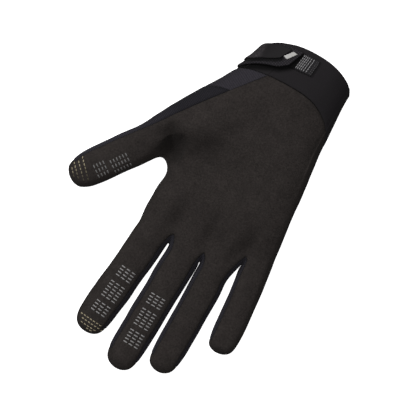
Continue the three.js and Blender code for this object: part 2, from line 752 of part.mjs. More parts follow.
// Pieces that lie over the cuff follow its skin. Each row of a table gives the angles at the lower and upper
// edge, the two edges' places along the glove, and the lift off the cuff
const strapThick = 1.4;
const padThick = 0.8;
const labelThick = 0.5;
const loopThick = 0.9;
const layerGap = 0.45;
const strapTable = [
  { low: 238, high: 238, from: 0.372, to: 0.434, lift: 0 },
  { low: 222, high: 222, from: 0.37, to: 0.43, lift: 0 },
  { low: 206, high: 206, from: 0.368, to: 0.431, lift: 0 },
  { low: 192, high: 192, from: 0.366, to: 0.438, lift: 0 },
  { low: 180, high: 180, from: 0.368, to: 0.449, lift: 0 },
  { low: 168, high: 168, from: 0.375, to: 0.458, lift: 0.2 },
  { low: 156, high: 155, from: 0.384, to: 0.4655, lift: 0.5 },
  { low: 145, high: 143, from: 0.395, to: 0.4715, lift: 0.9 },
  { low: 135, high: 131, from: 0.404, to: 0.477, lift: 1.2 },
  { low: 126, high: 121.5, from: 0.412, to: 0.481, lift: 1.2 },
  { low: 116, high: 109, from: 0.4205, to: 0.484, lift: 1.2 },
  { low: 108, high: 103, from: 0.438, to: 0.484, lift: 1.2 },
];
const padTable = [
  { low: 192, high: 192, from: 0.388, to: 0.433, lift: 0 },
  { low: 180, high: 180, from: 0.39, to: 0.444, lift: 0 },
  { low: 168, high: 168, from: 0.396, to: 0.4535, lift: 0.2 },
  { low: 156, high: 155, from: 0.404, to: 0.461, lift: 0.5 },
  { low: 145, high: 143, from: 0.4145, to: 0.467, lift: 0.9 },
  { low: 135, high: 131, from: 0.4235, to: 0.4735, lift: 1.2 },
  { low: 126, high: 121.5, from: 0.4345, to: 0.477, lift: 1.2 },
  { low: 121.5, high: 115.6, from: 0.443, to: 0.4765, lift: 1.2 },
];
const labelTable = [
  { low: 119.4, high: 112.9, from: 0.4515, to: 0.474, lift: 1.2 },
  { low: 113.6, high: 107.1, from: 0.448, to: 0.473, lift: 1.2 },
];
const loopTable = [
  { low: 122, high: 122, from: 0.43, to: 0.479, lift: 0 },
  { low: 113, high: 113, from: 0.432, to: 0.482, lift: 0 },
  { low: 104, high: 104, from: 0.4345, to: 0.484, lift: 0 },
  { low: 95, high: 95, from: 0.4375, to: 0.4855, lift: 0 },
  { low: 86, high: 86, from: 0.441, to: 0.4865, lift: 0 },
];

function wristNormal(angle, y) {
  const step = 0.5;
  const around = wristPoint(angle + step, y).sub(wristPoint(angle - step, y));
  const along = wristPoint(angle, y + step).sub(wristPoint(angle, y - step));
  return along.cross(around).normalize();
}

function wrapGeometry(table, inner, thick, crossings) {
  const positions = [];
  const columns = crossings + 1;
  const count = table.length * columns;
  for (const level of [inner + thick, inner]) {
    for (const row of table) {
      for (let step = 0; step < columns; step += 1) {
        const share = step / crossings;
        const angle = lerp(row.low, row.high, share);
        const y = lerp(row.from, row.to, share) * gloveLength;
        const place = wristPoint(angle, y).addScaledVector(wristNormal(angle, y), row.lift + level);
        positions.push(...place.toArray());
      }
    }
  }
  const triangles = [];
  const at = (row, step) => row * columns + step;
  const face = (a, b, c, d) => triangles.push(a, b, c, a, c, d);
  for (let row = 0; row < table.length - 1; row += 1) {
    for (let step = 0; step < crossings; step += 1) {
      const [a, b, c, d] = [at(row, step), at(row + 1, step), at(row + 1, step + 1), at(row, step + 1)];
      face(a, b, c, d);
      face(d + count, c + count, b + count, a + count);
    }
    face(at(row + 1, 0), at(row, 0), at(row, 0) + count, at(row + 1, 0) + count);
    const [e, f] = [at(row, crossings), at(row + 1, crossings)];
    face(e, f, f + count, e + count);
  }
  const end = table.length - 1;
  for (let step = 0; step < crossings; step += 1) {
    face(at(0, step), at(0, step + 1), at(0, step + 1) + count, at(0, step) + count);
    face(at(end, step + 1), at(end, step), at(end, step) + count, at(end, step + 1) + count);
  }
  const geometry = new THREE.BufferGeometry();
  geometry.setAttribute("position", new THREE.Float32BufferAttribute(positions, 3));
  geometry.setIndex(triangles);
  return geometry;
}

// Materials
const suede = { color: 0x2d2a28, roughness: 0.95, metalness: 0 };
const knit = { color: 0x23232b, roughness: 0.9, metalness: 0 };
const meshKnit = { color: 0x2e2e37, roughness: 0.9, metalness: 0 };
const neoprene = { color: 0x222024, roughness: 0.7, metalness: 0 };
const webbing = { color: 0x26252b, roughness: 0.85, metalness: 0 };
const moulded = { color: 0x212021, roughness: 0.5, metalness: 0 };
const tag = { color: 0x979694, roughness: 0.6, metalness: 0 };
const loops = { color: 0x3a393b, roughness: 1, metalness: 0 };

const glove = new THREE.Group();
function addPiece(name, geometry, look) {
  geometry.computeVertexNormals();
  const mesh = new THREE.Mesh(geometry, new THREE.MeshStandardMaterial(look));
  mesh.name = name;
  glove.add(mesh);
}

const strapInner = layerGap;
const padInner = strapInner + strapThick + layerGap;
addPiece("palm_panel", palmGeometry(), suede);
addPiece("back_panel", panelGeometry("back_panel", backWall), knit);
addPiece("fourchette_index_middle", panelGeometry("fourchette_index_middle", fourchetteWall), meshKnit);
addPiece("fourchette_middle_ring", panelGeometry("fourchette_middle_ring", fourchetteWall), meshKnit);
addPiece("fourchette_ring_little", panelGeometry("fourchette_ring_little", fourchetteWall), meshKnit);
addPiece("thumb_side_panel", panelGeometry("thumb_side_panel", thumbSideWall), meshKnit);
addPiece("wrist_gusset", panelGeometry("wrist_gusset", gussetWall), meshKnit);
addPiece("cuff", panelGeometry("cuff", cuffWall), neoprene);
addPiece("loop_patch", wrapGeometry(loopTable, layerGap, loopThick, 3), loops);
addPiece("closure_strap", wrapGeometry(strapTable, strapInner, strapThick, 6), webbing);
addPiece("strap_pad", wrapGeometry(padTable, padInner, padThick, 4), moulded);
addPiece("strap_label", wrapGeometry(labelTable, padInner, labelThick, 2), tag);

// Origin under the middle of the whole glove, on the surface that it rests on
const box = new THREE.Box3().setFromObject(glove);
const middle = box.getCenter(new THREE.Vector3());
glove.position.set(-middle.x, -middle.y, -box.min.z);

export default glove;
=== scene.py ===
import math

import bpy
import numpy as np
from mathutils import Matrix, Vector, noise
from mathutils.bvhtree import BVHTree
from mathutils.kdtree import KDTree


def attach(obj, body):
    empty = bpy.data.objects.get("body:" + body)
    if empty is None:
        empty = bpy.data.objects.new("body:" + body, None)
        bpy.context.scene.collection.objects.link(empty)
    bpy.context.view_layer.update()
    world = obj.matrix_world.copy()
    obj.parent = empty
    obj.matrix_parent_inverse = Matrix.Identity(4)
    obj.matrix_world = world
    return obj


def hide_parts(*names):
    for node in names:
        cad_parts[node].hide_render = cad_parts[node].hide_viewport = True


# The looks of a right-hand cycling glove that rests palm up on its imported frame. Sizes are in millimetres
# until a mesh is made. The cloth is one smooth net, cut into the panels that replace the frame's plain ones.
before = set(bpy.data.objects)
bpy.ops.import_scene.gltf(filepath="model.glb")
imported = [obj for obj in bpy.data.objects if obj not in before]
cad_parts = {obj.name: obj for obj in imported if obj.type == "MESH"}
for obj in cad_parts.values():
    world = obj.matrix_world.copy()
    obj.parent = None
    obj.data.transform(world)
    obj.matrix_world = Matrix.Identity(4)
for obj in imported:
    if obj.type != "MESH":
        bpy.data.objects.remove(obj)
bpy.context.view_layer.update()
scene = bpy.context.scene
MM = 0.001

# Sizes of the glove, as in the frame
GLOVE_LENGTH = 235
PALM_BREADTH = 90
PLACE = np.array([-0.336, 0.199, 0.0])  # from the net's own origin to the frame's
CUFF_THICK, WRIST_THICK, PALM_THICK, KNUCKLE_THICK = 35, 32, 27, 20
WEB_THICK, THUMB_WEB_THICK, WEB_EASE = 11, 9, 3
BACK_FLATNESS, THUMB_LIFT = 1.15, 3.2
CUFF_HEIGHT = 26
CUFF_LEFT, CUFF_RIGHT = (8.8, 1.6), (12, 1.3)  # drop and arch of the edge at the two sides
CUFF_SEAM_DROP_LEFT, CUFF_SEAM_DROP_RIGHT = 6.5, 22.5
BACK_SEAM_RISE, GUSSET_HEIGHT = 6, 19
WRIST_SQUARENESS, SQUARENESS, PALM_SQUARENESS = 0.84, 0.92, 2.6
WRIST_EDGE_ANGLE, CUFF_SEAM_COLUMN_ANGLE, GUSSET_SEAM_COLUMN_ANGLE = 22, 118, 131
PALM_EDGE_SHARE, SIDE_INSET, CROTCH_INSET, CROTCH_SLOPE, THUMB_BASE_BULGE = 0.02, 0.03, 2.8, 4, 0.6
OUTER_COLUMN_SHARE, TIP_CAP_START, INDEX_SIDE = 0.35, 0.9, -0.214
WEB_DIP_REACH, WEB_DIP_FADE = 2.2, 4
CUFF_EDGE_Y = GLOVE_LENGTH / 2

# Mounds and hollows of the palm: x, y, rise, reach
PALM_FORMS = [(-0.17, 0.2, 2, 26), (0.5, 0.2, 2.5, 22), (0.2, 0.12, -3, 26)]
FINGERS = {
    "index": dict(width=22.9, thick=17, length=78.8, lean=5.3, bow=0.1, curl=5),
    "middle": dict(width=22.3, thick=17, length=89, lean=1.2, bow=0, curl=6),
    "ring": dict(width=20.7, thick=16.5, length=79, lean=-0.6, bow=0.6, curl=5),
    "little": dict(width=19.4, thick=15.5, length=59.4, lean=-5.7, bow=0.8, curl=4),
}
THUMB = dict(width=23.6, thick=20.5, length=56.7, lean=34.9, bow=-0.2, curl=-1.5)
ROOTS = {
    "index": (-0.074, -0.123), "middle": (0.188, -0.123),
    "ring": (0.428, -0.118), "little": (0.675, -0.078),
}
CROTCHES = [(0.054, -0.122), (0.307, -0.125), (0.574, -0.077)]
THUMB_CROTCH = (-0.28, 0.054)
THUMB_ROOT = (-0.418, 0.08)
# Rings along a finger: along, width, thick, curl, seam angle
FINGER_RINGS = [
    (0.07, 1.02, 1.04, 0, 42), (0.18, 1.02, 1.01, 0.01, 41), (0.31, 1.01, 1, 0.03, 40), (0.44, 1, 1, 0.1, 40),
    (0.57, 1.01, 0.98, 0.22, 40), (0.7, 1.01, 0.96, 0.42, 40), (0.81, 0.98, 0.92, 0.64, 38),
    (0.89, 0.9, 0.84, 0.82, 34), (0.945, 0.77, 0.68, 0.94, 36),
]
THUMB_RINGS = [
    (0.09, 0.99, 1, 0, 40), (0.2, 1, 0.99, 0.05, 40), (0.33, 1, 0.97, 0.15, 39), (0.46, 1, 0.96, 0.3, 38),
    (0.59, 1, 0.95, 0.45, 37), (0.71, 0.98, 0.92, 0.65, 36), (0.81, 0.92, 0.86, 0.8, 36),
    (0.88, 0.83, 0.76, 0.9, 37), (0.935, 0.7, 0.62, 0.97, 40),
]
ROOT_RING = (0, 1.03, 1.1, 0, 42)
THUMB_ROOT_RING = (-0.02, 1.02, 1.02, 0, 46)
# Outlines in shares of the length and the breadth: y, left, right, and y, right
WRIST_OUTLINE = [
    (0.5, -0.01, 0.62), (0.475, -0.03, 0.638), (0.44, -0.052, 0.641), (0.41, -0.079, 0.643),
    (0.378, -0.123, 0.648), (0.355, -0.16, 0.652), (0.312, -0.225, 0.657), (0.265, -0.305, 0.667),
    (0.2, -0.41, 0.69),
]
RIGHT_OUTLINE = [
    (0.26, 0.668), (0.166, 0.703), (0.1, 0.72), (0.053, 0.735),
    (0.005, 0.755), (-0.044, 0.772), (-0.078, 0.785),
]

# Rows and columns of the net, how it is fitted to its points, and how far it is divided
CUFF_ROWS, GUSSET_ROWS, THENAR_ROWS, KNUCKLE_ROWS = 4, 3, 6, 5
THUMB_COLUMNS, FINGER_COLUMNS, SEAM_COLUMN = 6, 4, 2
LAST_COLUMN = THUMB_COLUMNS + 4 * FINGER_COLUMNS
SEAM_ROW = CUFF_ROWS
GUSSET_ROW = SEAM_ROW + GUSSET_ROWS
WEB_ROW = GUSSET_ROW + THENAR_ROWS
ROOT_ROW = WEB_ROW + KNUCKLE_ROWS
FOURCHETTE_END_RING = 8
FIT_ROUNDS, FIT_PACE, NET_LEVELS = 6, 0.85, 3

PANELS = [
    "palm_panel", "back_panel", "fourchette_index_middle", "fourchette_middle_ring", "fourchette_ring_little",
    "thumb_side_panel", "wrist_gusset", "cuff", "cuff_tongue",
]
WALLS = [1.2, 1.1, 1, 1, 1, 1.1, 1.1, 2, 1.1]
SPLIT = ("palm_panel", "back_panel")


def lerp(a, b, share):
    return a + (b - a) * share


def smoothstep(x, low, high):
    t = np.clip((x - low) / (high - low), 0, 1)
    return t * t * (3 - 2 * t)


def sind(angle):
    return math.sin(math.radians(angle))


def cosd(angle):
    return math.cos(math.radians(angle))


def signed_power(value, power):
    return math.copysign(abs(value) ** power, value)


def look_up(table, at, column):
    """A column of a table, read along its first column."""
    rows = sorted(table)
    return float(np.interp(at, [row[0] for row in rows], [row[column] for row in rows]))


def right_edge(y):
    return look_up(RIGHT_OUTLINE, y / GLOVE_LENGTH, 1) * PALM_BREADTH


# Wrist and cuff
def wrist_point(angle, y):
    share = y / GLOVE_LENGTH
    left = look_up(WRIST_OUTLINE, share, 1) * PALM_BREADTH
    right = look_up(WRIST_OUTLINE, share, 2) * PALM_BREADTH
    to_cuff = smoothstep(y, CUFF_EDGE_Y - CUFF_HEIGHT - GUSSET_HEIGHT, CUFF_EDGE_Y)
    half = lerp(WRIST_THICK, CUFF_THICK, to_cuff) / 2
    across = (right - left) / 2 * signed_power(cosd(angle), WRIST_SQUARENESS)
    up = half * signed_power(sind(angle), WRIST_SQUARENESS)
    return np.array([(left + right) / 2 + across, y, half + up])


def cuff_edge(angle):
    drop, arch = CUFF_RIGHT if cosd(angle) >= 0 else CUFF_LEFT
    return CUFF_EDGE_Y - drop * (1 - abs(sind(angle)) ** arch)


def cuff_seam(angle):
    drop = CUFF_SEAM_DROP_LEFT if cosd(angle) < 0 else CUFF_SEAM_DROP_RIGHT
    rise = 0 if sind(angle) >= 0 else BACK_SEAM_RISE * abs(sind(angle))
    return CUFF_EDGE_Y - CUFF_HEIGHT - rise - drop * (1 - abs(sind(angle)))


def wrist_column_angle(column, seam_angle):
    if column <= SEAM_COLUMN:
        return lerp(180 - WRIST_EDGE_ANGLE, seam_angle, column / SEAM_COLUMN)
    return lerp(seam_angle, WRIST_EDGE_ANGLE, (column - SEAM_COLUMN) / (LAST_COLUMN - SEAM_COLUMN))


def wrist_row(row):
    in_cuff = row <= SEAM_ROW
    share = row / CUFF_ROWS if in_cuff else (row - SEAM_ROW) / GUSSET_ROWS
    seam_angle = lerp(CUFF_SEAM_COLUMN_ANGLE, GUSSET_SEAM_COLUMN_ANGLE, 0 if in_cuff else share)

    def place(angle):
        seam = cuff_seam(angle)
        y = lerp(cuff_edge(angle), seam, share) if in_cuff else seam - GUSSET_HEIGHT * share
        return wrist_point(angle, y)

    angles = [wrist_column_angle(column, seam_angle) for column in range(LAST_COLUMN + 1)]
    upper = [place(angle) for angle in angles]
    lower = [place(-angle) for angle in angles]
    return dict(upper=upper, lower=lower, left=place(180), right=place(0))


# Fingers
def make_finger(shape, rings, root, height, columns):
    lean = math.radians(shape["lean"])
    return dict(
        shape, rings=rings, columns=columns, height=height,
        root=np.array([root[0] * PALM_BREADTH, root[1] * GLOVE_LENGTH, 0.0]),
        axis=np.array([-math.sin(lean), -math.cos(lean), 0]),
        side=np.array([math.cos(lean), -math.sin(lean), 0]),
    )


def ring_point(finger, ring, angle):
    along, width, thick, curl, _ = ring
    bow = finger["bow"] * math.sin(math.pi * min(1, along))
    across = finger["width"] / 2 * width * signed_power(cosd(angle), SQUARENESS) + bow
    up = finger["thick"] / 2 * thick * signed_power(sind(angle), SQUARENESS)
    place = finger["root"] + finger["axis"] * finger["length"] * along + finger["side"] * across
    return place + np.array([0, 0, finger["height"] + finger["curl"] * curl + up])


def resting(point):
    return np.array([point[0], point[1], max(0, point[2])])


def column_angle(column, columns, seam):
    inner = SEAM_COLUMN if columns == THUMB_COLUMNS else 0
    if column < inner:
        return lerp(180 - seam * OUTER_COLUMN_SHARE, 180 - seam, column / inner)
    return lerp(180 - seam, seam, (column - inner) / (columns - inner))


def tip_point(finger, share):
    last = finger["rings"][-1]
    corner = math.asin((last[0] - TIP_CAP_START) / (1 - TIP_CAP_START))
    turn = lerp(math.pi - corner, corner, share)
    along = lerp(TIP_CAP_START, 1, math.sin(turn))
    across = math.cos(turn) / math.cos(corner) * last[1]
    place = finger["root"] + finger["axis"] * finger["length"] * along
    place = place + finger["side"] * finger["width"] / 2 * across
    return place + np.array([0, 0, finger["height"] + finger["curl"]])


def plan_point(place, z):
    return np.array([place[0] * PALM_BREADTH, place[1] * GLOVE_LENGTH, z])


finger_models = [
    make_finger(shape, FINGER_RINGS, ROOTS[name], shape["thick"] / 2, FINGER_COLUMNS)
    for name, shape in FINGERS.items()
]
thumb_model = make_finger(THUMB, THUMB_RINGS, THUMB_ROOT, THUMB["thick"] / 2 + THUMB_LIFT, THUMB_COLUMNS)


# Rows of the hand
def empty_row():
    return [None] * (LAST_COLUMN + 1), [None] * (LAST_COLUMN + 1)


def finger_root_row():
    upper, lower = empty_row()
    for column in range(THUMB_COLUMNS, LAST_COLUMN + 1):
        index, inside = divmod(column - THUMB_COLUMNS, FINGER_COLUMNS)
        if index == 4:
            index, inside = 3, FINGER_COLUMNS
        if inside == 0 and index > 0:
            web = plan_point(CROTCHES[index - 1], KNUCKLE_THICK / 2)
            upper[column] = web + np.array([0, CROTCH_INSET, WEB_THICK / 2])
            lower[column] = web + np.array([0, CROTCH_INSET - CROTCH_SLOPE, -WEB_THICK / 2])
        else:
            angle = column_angle(inside, FINGER_COLUMNS, ROOT_RING[4])
            upper[column] = ring_point(finger_models[index], ROOT_RING, angle)
            lower[column] = resting(ring_point(finger_models[index], ROOT_RING, -angle))
    left = ring_point(finger_models[0], ROOT_RING, 180)
    return dict(upper=upper, lower=lower, left=left, right=ring_point(finger_models[3], ROOT_RING, 0))


def thumb_web_row(roots):
    upper, lower = empty_row()
    for column in range(THUMB_COLUMNS):
        angle = column_angle(column, THUMB_COLUMNS, THUMB_ROOT_RING[4])
        upper[column] = ring_point(thumb_model, THUMB_ROOT_RING, angle)
        lower[column] = ring_point(thumb_model, THUMB_ROOT_RING, -angle)
    web = plan_point(THUMB_CROTCH, PALM_THICK / 2)
    upper[THUMB_COLUMNS] = web + np.array([0, CROTCH_INSET, THUMB_WEB_THICK / 2])
    lower[THUMB_COLUMNS] = web + np.array([0, CROTCH_INSET, -THUMB_WEB_THICK / 2])
    first = roots["upper"][THUMB_COLUMNS][0]
    span = roots["upper"][LAST_COLUMN][0] - first
    left, y = web[0], web[1]
    right = right_edge(y)
    for column in range(THUMB_COLUMNS + 1, LAST_COLUMN + 1):
        share = (roots["upper"][column][0] - first) / span
        x = lerp(left, right, lerp(PALM_EDGE_SHARE, 1 - PALM_EDGE_SHARE, share))
        off = abs((2 * x - left - right) / (right - left))
        rise = (1 - off**PALM_SQUARENESS) ** (1 / PALM_SQUARENESS)
        upper[column] = np.array([x, y, PALM_THICK / 2 * (1 + rise)])
        lower[column] = np.array([x, y, max(0, PALM_THICK / 2 * (1 - rise * BACK_FLATNESS))])
    side = np.array([right, y, PALM_THICK / 2])
    return dict(upper=upper, lower=lower, left=ring_point(thumb_model, THUMB_ROOT_RING, 180), right=side)


def palm_relief(point):
    height = 0
    for x, y, rise, reach in PALM_FORMS:
        dx, dy = point[0] - x * PALM_BREADTH, point[1] - y * GLOVE_LENGTH
        height += rise * math.exp(-(dx * dx + dy * dy) / reach**2)
    return height


def row_between(start, end, share, first):
    ease = share * share * (3 - 2 * share)

    def mix(a, b):
        point = lerp(a, b, share)
        point[2] = lerp(a[2], b[2], ease)
        return point

    row = dict(left=mix(start["left"], end["left"]), right=mix(start["right"], end["right"]))
    for key in ("upper", "lower"):
        row[key] = [
            None if column < first else mix(start[key][column], end[key][column])
            for column in range(LAST_COLUMN + 1)
        ]
    return row


def shift_row(row, first, left_shift, right_shift):
    for key in ("upper", "lower"):
        start = row[key][first][0]
        span = row[key][LAST_COLUMN][0] - start
        for point in row[key][first:]:
            point[0] += lerp(left_shift, right_shift, (point[0] - start) / span)
    row["left"][0] += left_shift
    row["right"][0] += right_shift


def end_web_dip(row, start, end, share):
    for column, point in enumerate(row):
        near = math.exp(-(((column - THUMB_COLUMNS) / WEB_DIP_REACH) ** 2))
        short = lerp(start[column][2], end[column][2], share**WEB_DIP_FADE)
        point[2] = lerp(point[2], short, near)


def body_rows():
    rows = [wrist_row(row) for row in range(GUSSET_ROW + 1)]
    roots = finger_root_row()
    webs = thumb_web_row(roots)
    for step in range(1, THENAR_ROWS):
        share = step / THENAR_ROWS
        row = row_between(rows[GUSSET_ROW], webs, share, 0)
        right = right_edge(row["right"][1])
        shift_row(row, 0, -THUMB_BASE_BULGE * math.sin(math.pi * share), right - row["right"][0])
        end_web_dip(row["upper"], rows[GUSSET_ROW]["upper"], webs["upper"], share)
        rows.append(row)
    rows.append(webs)
    side_start = dict(webs, left=np.array([*webs["upper"][THUMB_COLUMNS][:2], PALM_THICK / 2]))
    for step in range(1, KNUCKLE_ROWS):
        share = step / KNUCKLE_ROWS
        row = row_between(side_start, roots, share, THUMB_COLUMNS)
        right = right_edge(row["right"][1])
        left = INDEX_SIDE * PALM_BREADTH
        shift_row(row, THUMB_COLUMNS, left - row["left"][0], right - row["right"][0])
        edge, under = row["upper"][THUMB_COLUMNS], row["lower"][THUMB_COLUMNS]
        edge[0] = max(edge[0], left + SIDE_INSET * PALM_BREADTH)
        under[0] = edge[0]
        edge[2] = lerp(webs["upper"][THUMB_COLUMNS][2] + WEB_EASE, roots["upper"][THUMB_COLUMNS][2], share)
        under[2] = lerp(webs["lower"][THUMB_COLUMNS][2] - WEB_EASE, roots["lower"][THUMB_COLUMNS][2], share)
        rows.append(row)
    rows.append(roots)
    for row in rows:
        for point in row["upper"]:
            if point is not None:
                point[2] += palm_relief(point)
    return rows


# The net: points, quads and each quad's panel
points, quads, quad_panels = [], [], []


def add_point(point):
    points.append(point)
    return len(points) - 1


def add_quad(panel, corners):
    quads.append(corners)
    quad_panels.append(PANELS.index(panel))


def sheet_quads(start, end, first, columns, panel_at):
    for column in range(first, first + columns):
        a, b = start["upper"], end["upper"]
        add_quad(panel_at(column, True), (a[column], b[column], b[column + 1], a[column + 1]))
        a, b = start["lower"], end["lower"]
        add_quad(panel_at(column, False), (a[column + 1], b[column + 1], b[column], a[column]))


def body_panel(row, column, on_palm):
    if row < SEAM_ROW:
        return "cuff_tongue" if on_palm and column < SEAM_COLUMN else "cuff"
    if column < SEAM_COLUMN and row < WEB_ROW:
        return "wrist_gusset" if row < GUSSET_ROW else "thumb_side_panel"
    return "palm_panel" if on_palm else "back_panel"


def stop(row, column, side, panels):
    """A place along the outline, where the palm's and the back's sheets meet at a side point."""
    return dict(upper=row["upper"][column], lower=row["lower"][column], side=add_point(side), panels=panels)


def net_row(row):
    added = {key: [None if p is None else add_point(p) for p in row[key]] for key in ("upper", "lower")}
    return dict(row, **added)


def add_finger(finger, start, first, left_panels, right_panels):
    is_thumb = finger["columns"] == THUMB_COLUMNS
    end = first + finger["columns"]
    rings = []
    for ring in finger["rings"]:
        upper, lower = empty_row()
        for step in range(finger["columns"] + 1):
            angle = column_angle(step, finger["columns"], ring[4])
            upper[first + step] = add_point(ring_point(finger, ring, angle))
            lower[first + step] = add_point(resting(ring_point(finger, ring, -angle)))
        sides = dict(left=ring_point(finger, ring, 180), right=ring_point(finger, ring, 0))
        rings.append(dict(sides, upper=upper, lower=lower))
    before = start
    for index, ring in enumerate(rings):
        side_panel = is_thumb and index < FOURCHETTE_END_RING

        def panel_at(column, on_palm):
            if side_panel and column < SEAM_COLUMN:
                return "thumb_side_panel"
            return "palm_panel" if on_palm else "back_panel"

        sheet_quads(before, ring, first, finger["columns"], panel_at)
        before = ring
    stops = []
    last = len(rings) - 1
    for index, ring in enumerate(rings[:last]):
        panels = left_panels if index + 1 < FOURCHETTE_END_RING else SPLIT
        stops.append(stop(ring, first, ring["left"], panels))
    for step in range(finger["columns"] + 1):
        stops.append(stop(rings[last], first + step, tip_point(finger, step / finger["columns"]), SPLIT))
    for index in range(last - 1, -1, -1):
        ring = rings[index]
        panels = right_panels if index < FOURCHETTE_END_RING else SPLIT
        stops.append(stop(ring, end, ring["right"], panels))
    return stops


def build_net():
    rows = [net_row(row) for row in body_rows()]
    for row in range(ROOT_ROW):
        first = 0 if row < WEB_ROW else THUMB_COLUMNS
        sheet_quads(rows[row], rows[row + 1], first, LAST_COLUMN - first,
                    lambda column, on_palm: body_panel(row, column, on_palm))
    stops = []
    for index, row in enumerate(rows[: WEB_ROW + 1]):
        panel = "cuff" if index < SEAM_ROW else "wrist_gusset" if index < GUSSET_ROW else "thumb_side_panel"
        stops.append(stop(row, 0, row["left"], (panel, panel)))
    outer = ("thumb_side_panel", "thumb_side_panel")
    stops += add_finger(thumb_model, rows[WEB_ROW], 0, outer, SPLIT)
    crotch = plan_point(THUMB_CROTCH, PALM_THICK / 2)
    stops.append(stop(rows[WEB_ROW], THUMB_COLUMNS, crotch, SPLIT))
    for row in rows[WEB_ROW + 1:]:
        stops.append(stop(row, THUMB_COLUMNS, row["left"], SPLIT))
    between, roots = PANELS[2:5], rows[ROOT_ROW]
    for index, finger in enumerate(finger_models):
        first = THUMB_COLUMNS + index * FINGER_COLUMNS
        left = (between[index - 1],) * 2 if index else SPLIT
        right = (between[index],) * 2 if index < 3 else SPLIT
        stops += add_finger(finger, roots, first, left, right)
        if index < 3:
            crotch = plan_point(CROTCHES[index], KNUCKLE_THICK / 2) - np.array([0, CROTCH_SLOPE, 0])
            stops.append(stop(roots, first + FINGER_COLUMNS, crotch, right))
    for index in range(ROOT_ROW, -1, -1):
        row = rows[index]
        panels = ("cuff", "cuff") if index <= SEAM_ROW else SPLIT
        stops.append(stop(row, LAST_COLUMN, row["right"], panels))
    for here, after in zip(stops, stops[1:]):
        add_quad(here["panels"][0], (here["upper"], here["side"], after["side"], after["upper"]))
        add_quad(here["panels"][1], (here["side"], here["lower"], after["lower"], after["side"]))


# Smoothing the net
def limit_parts(count, faces):
    """The net's edges, diagonals and rim, which give each point's place on the smooth surface."""
    edges = np.unique(np.sort(face_sides(faces), axis=1), axis=0)
    diagonals = np.vstack([faces[:, [k, (k + 2) % 4]] for k in range(4)])
    valence = np.zeros(count)
    np.add.at(valence, edges.ravel(), 1)
    rim = border_edges(faces)
    on_rim = np.zeros(count, bool)
    on_rim[rim.ravel()] = True
    return edges, diagonals, valence, rim, on_rim


def limit_places(places, parts):
    edges, diagonals, valence, rim, on_rim = parts
    total = valence[:, None] ** 2 * places
    np.add.at(total, edges[:, 0], 4 * places[edges[:, 1]])
    np.add.at(total, edges[:, 1], 4 * places[edges[:, 0]])
    np.add.at(total, diagonals[:, 0], places[diagonals[:, 1]])
    total /= (valence * (valence + 5))[:, None]
    along = 4 * places
    np.add.at(along, rim[:, 0], places[rim[:, 1]])
    np.add.at(along, rim[:, 1], places[rim[:, 0]])
    total[on_rim] = along[on_rim] / 6
    return total


def smooth_net():
    target = np.array(points)
    parts = limit_parts(len(points), np.array(quads))
    cage = target.copy()
    for _ in range(FIT_ROUNDS):
        cage += FIT_PACE * (target - limit_places(cage, parts))
    mesh = bpy.data.meshes.new("net")
    mesh.from_pydata(cage.tolist(), [], quads)
    mesh.polygons.foreach_set("material_index", quad_panels)
    for _ in PANELS:
        mesh.materials.append(None)
    net = bpy.data.objects.new("net", mesh)
    scene.collection.objects.link(net)
    finer = net.modifiers.new("finer", "SUBSURF")
    finer.levels = finer.render_levels = NET_LEVELS
    graph = bpy.context.evaluated_depsgraph_get()
    smooth = bpy.data.meshes.new_from_object(net.evaluated_get(graph), depsgraph=graph)
    co = np.empty(len(smooth.vertices) * 3)
    smooth.vertices.foreach_get("co", co)
    faces = np.empty(len(smooth.loops), int)
    smooth.loops.foreach_get("vertex_index", faces)
    panel = np.empty(len(smooth.polygons), int)
    smooth.polygons.foreach_get("material_index", panel)
    bpy.data.objects.remove(net)
    bpy.data.meshes.remove(mesh)
    bpy.data.meshes.remove(smooth)
    return co.reshape(-1, 3), faces.reshape(-1, 4), panel


def vertex_normals(co, faces):
    flat = np.cross(co[faces[:, 2]] - co[faces[:, 0]], co[faces[:, 3]] - co[faces[:, 1]])
    normals = np.zeros_like(co)
    for k in range(4):
        np.add.at(normals, faces[:, k], flat)
    return normals / np.maximum(np.linalg.norm(normals, axis=1), 1e-9)[:, None]


def face_sides(faces):
    return np.vstack([faces[:, [k, (k + 1) % 4]] for k in range(4)])


def border_edges(faces):
    """The sides that one face alone has, in that face's direction."""
    sides = face_sides(faces)
    keys = np.sort(sides, axis=1)
    _, where, counts = np.unique(keys, axis=0, return_inverse=True, return_counts=True)
    return sides[counts[where.ravel()] == 1]


def closed_wall(faces, count):
    """The outer faces, the inner ones, whose points are count further on, and the rim between them."""
    border = border_edges(faces)
    rim = np.stack([border[:, 1], border[:, 0], border[:, 0] + count, border[:, 1] + count], axis=1)
    return np.vstack([faces, faces[:, ::-1] + count, rim])


def distances(co, samples):
    tree = KDTree(len(samples))
    for index, sample in enumerate(samples):
        tree.insert(sample, index)
    tree.balance()
    return np.array([tree.find(place)[2] for place in co])


def edge_samples(co, edges, count=4):
    shares = (np.arange(count) / count)[None, :, None]
    start, end = co[edges[:, 0]][:, None], co[edges[:, 1]][:, None]
    return (start + (end - start) * shares).reshape(-1, 3)


def line_samples(line, step=0.4):
    found = []
    for a, b in zip(line, line[1:]):
        a, b = np.array(a, float), np.array(b, float)
        count = max(2, int(np.linalg.norm(b - a) / step))
        found += [a + (b - a) * k / count for k in range(count)]
    return found + [np.array(line[-1], float)]


def near_line(co, line, reach, step=0.4):
    """1 on a line of the palm's plane, falling to 0 beyond its reach."""
    samples = [(x, y, 0) for x, y in line_samples(line, step)]
    return np.exp(-(distances(co * np.array([1, 1, 0]), samples) / reach) ** 2)


# Photograph places, in pixels turned upright, to the glove's millimetres
IMAGE_SIDE, PIXEL, PHOTO_SHIFT, PHOTO_TURN = 416, 0.6334, (23.75, -0.25), 30


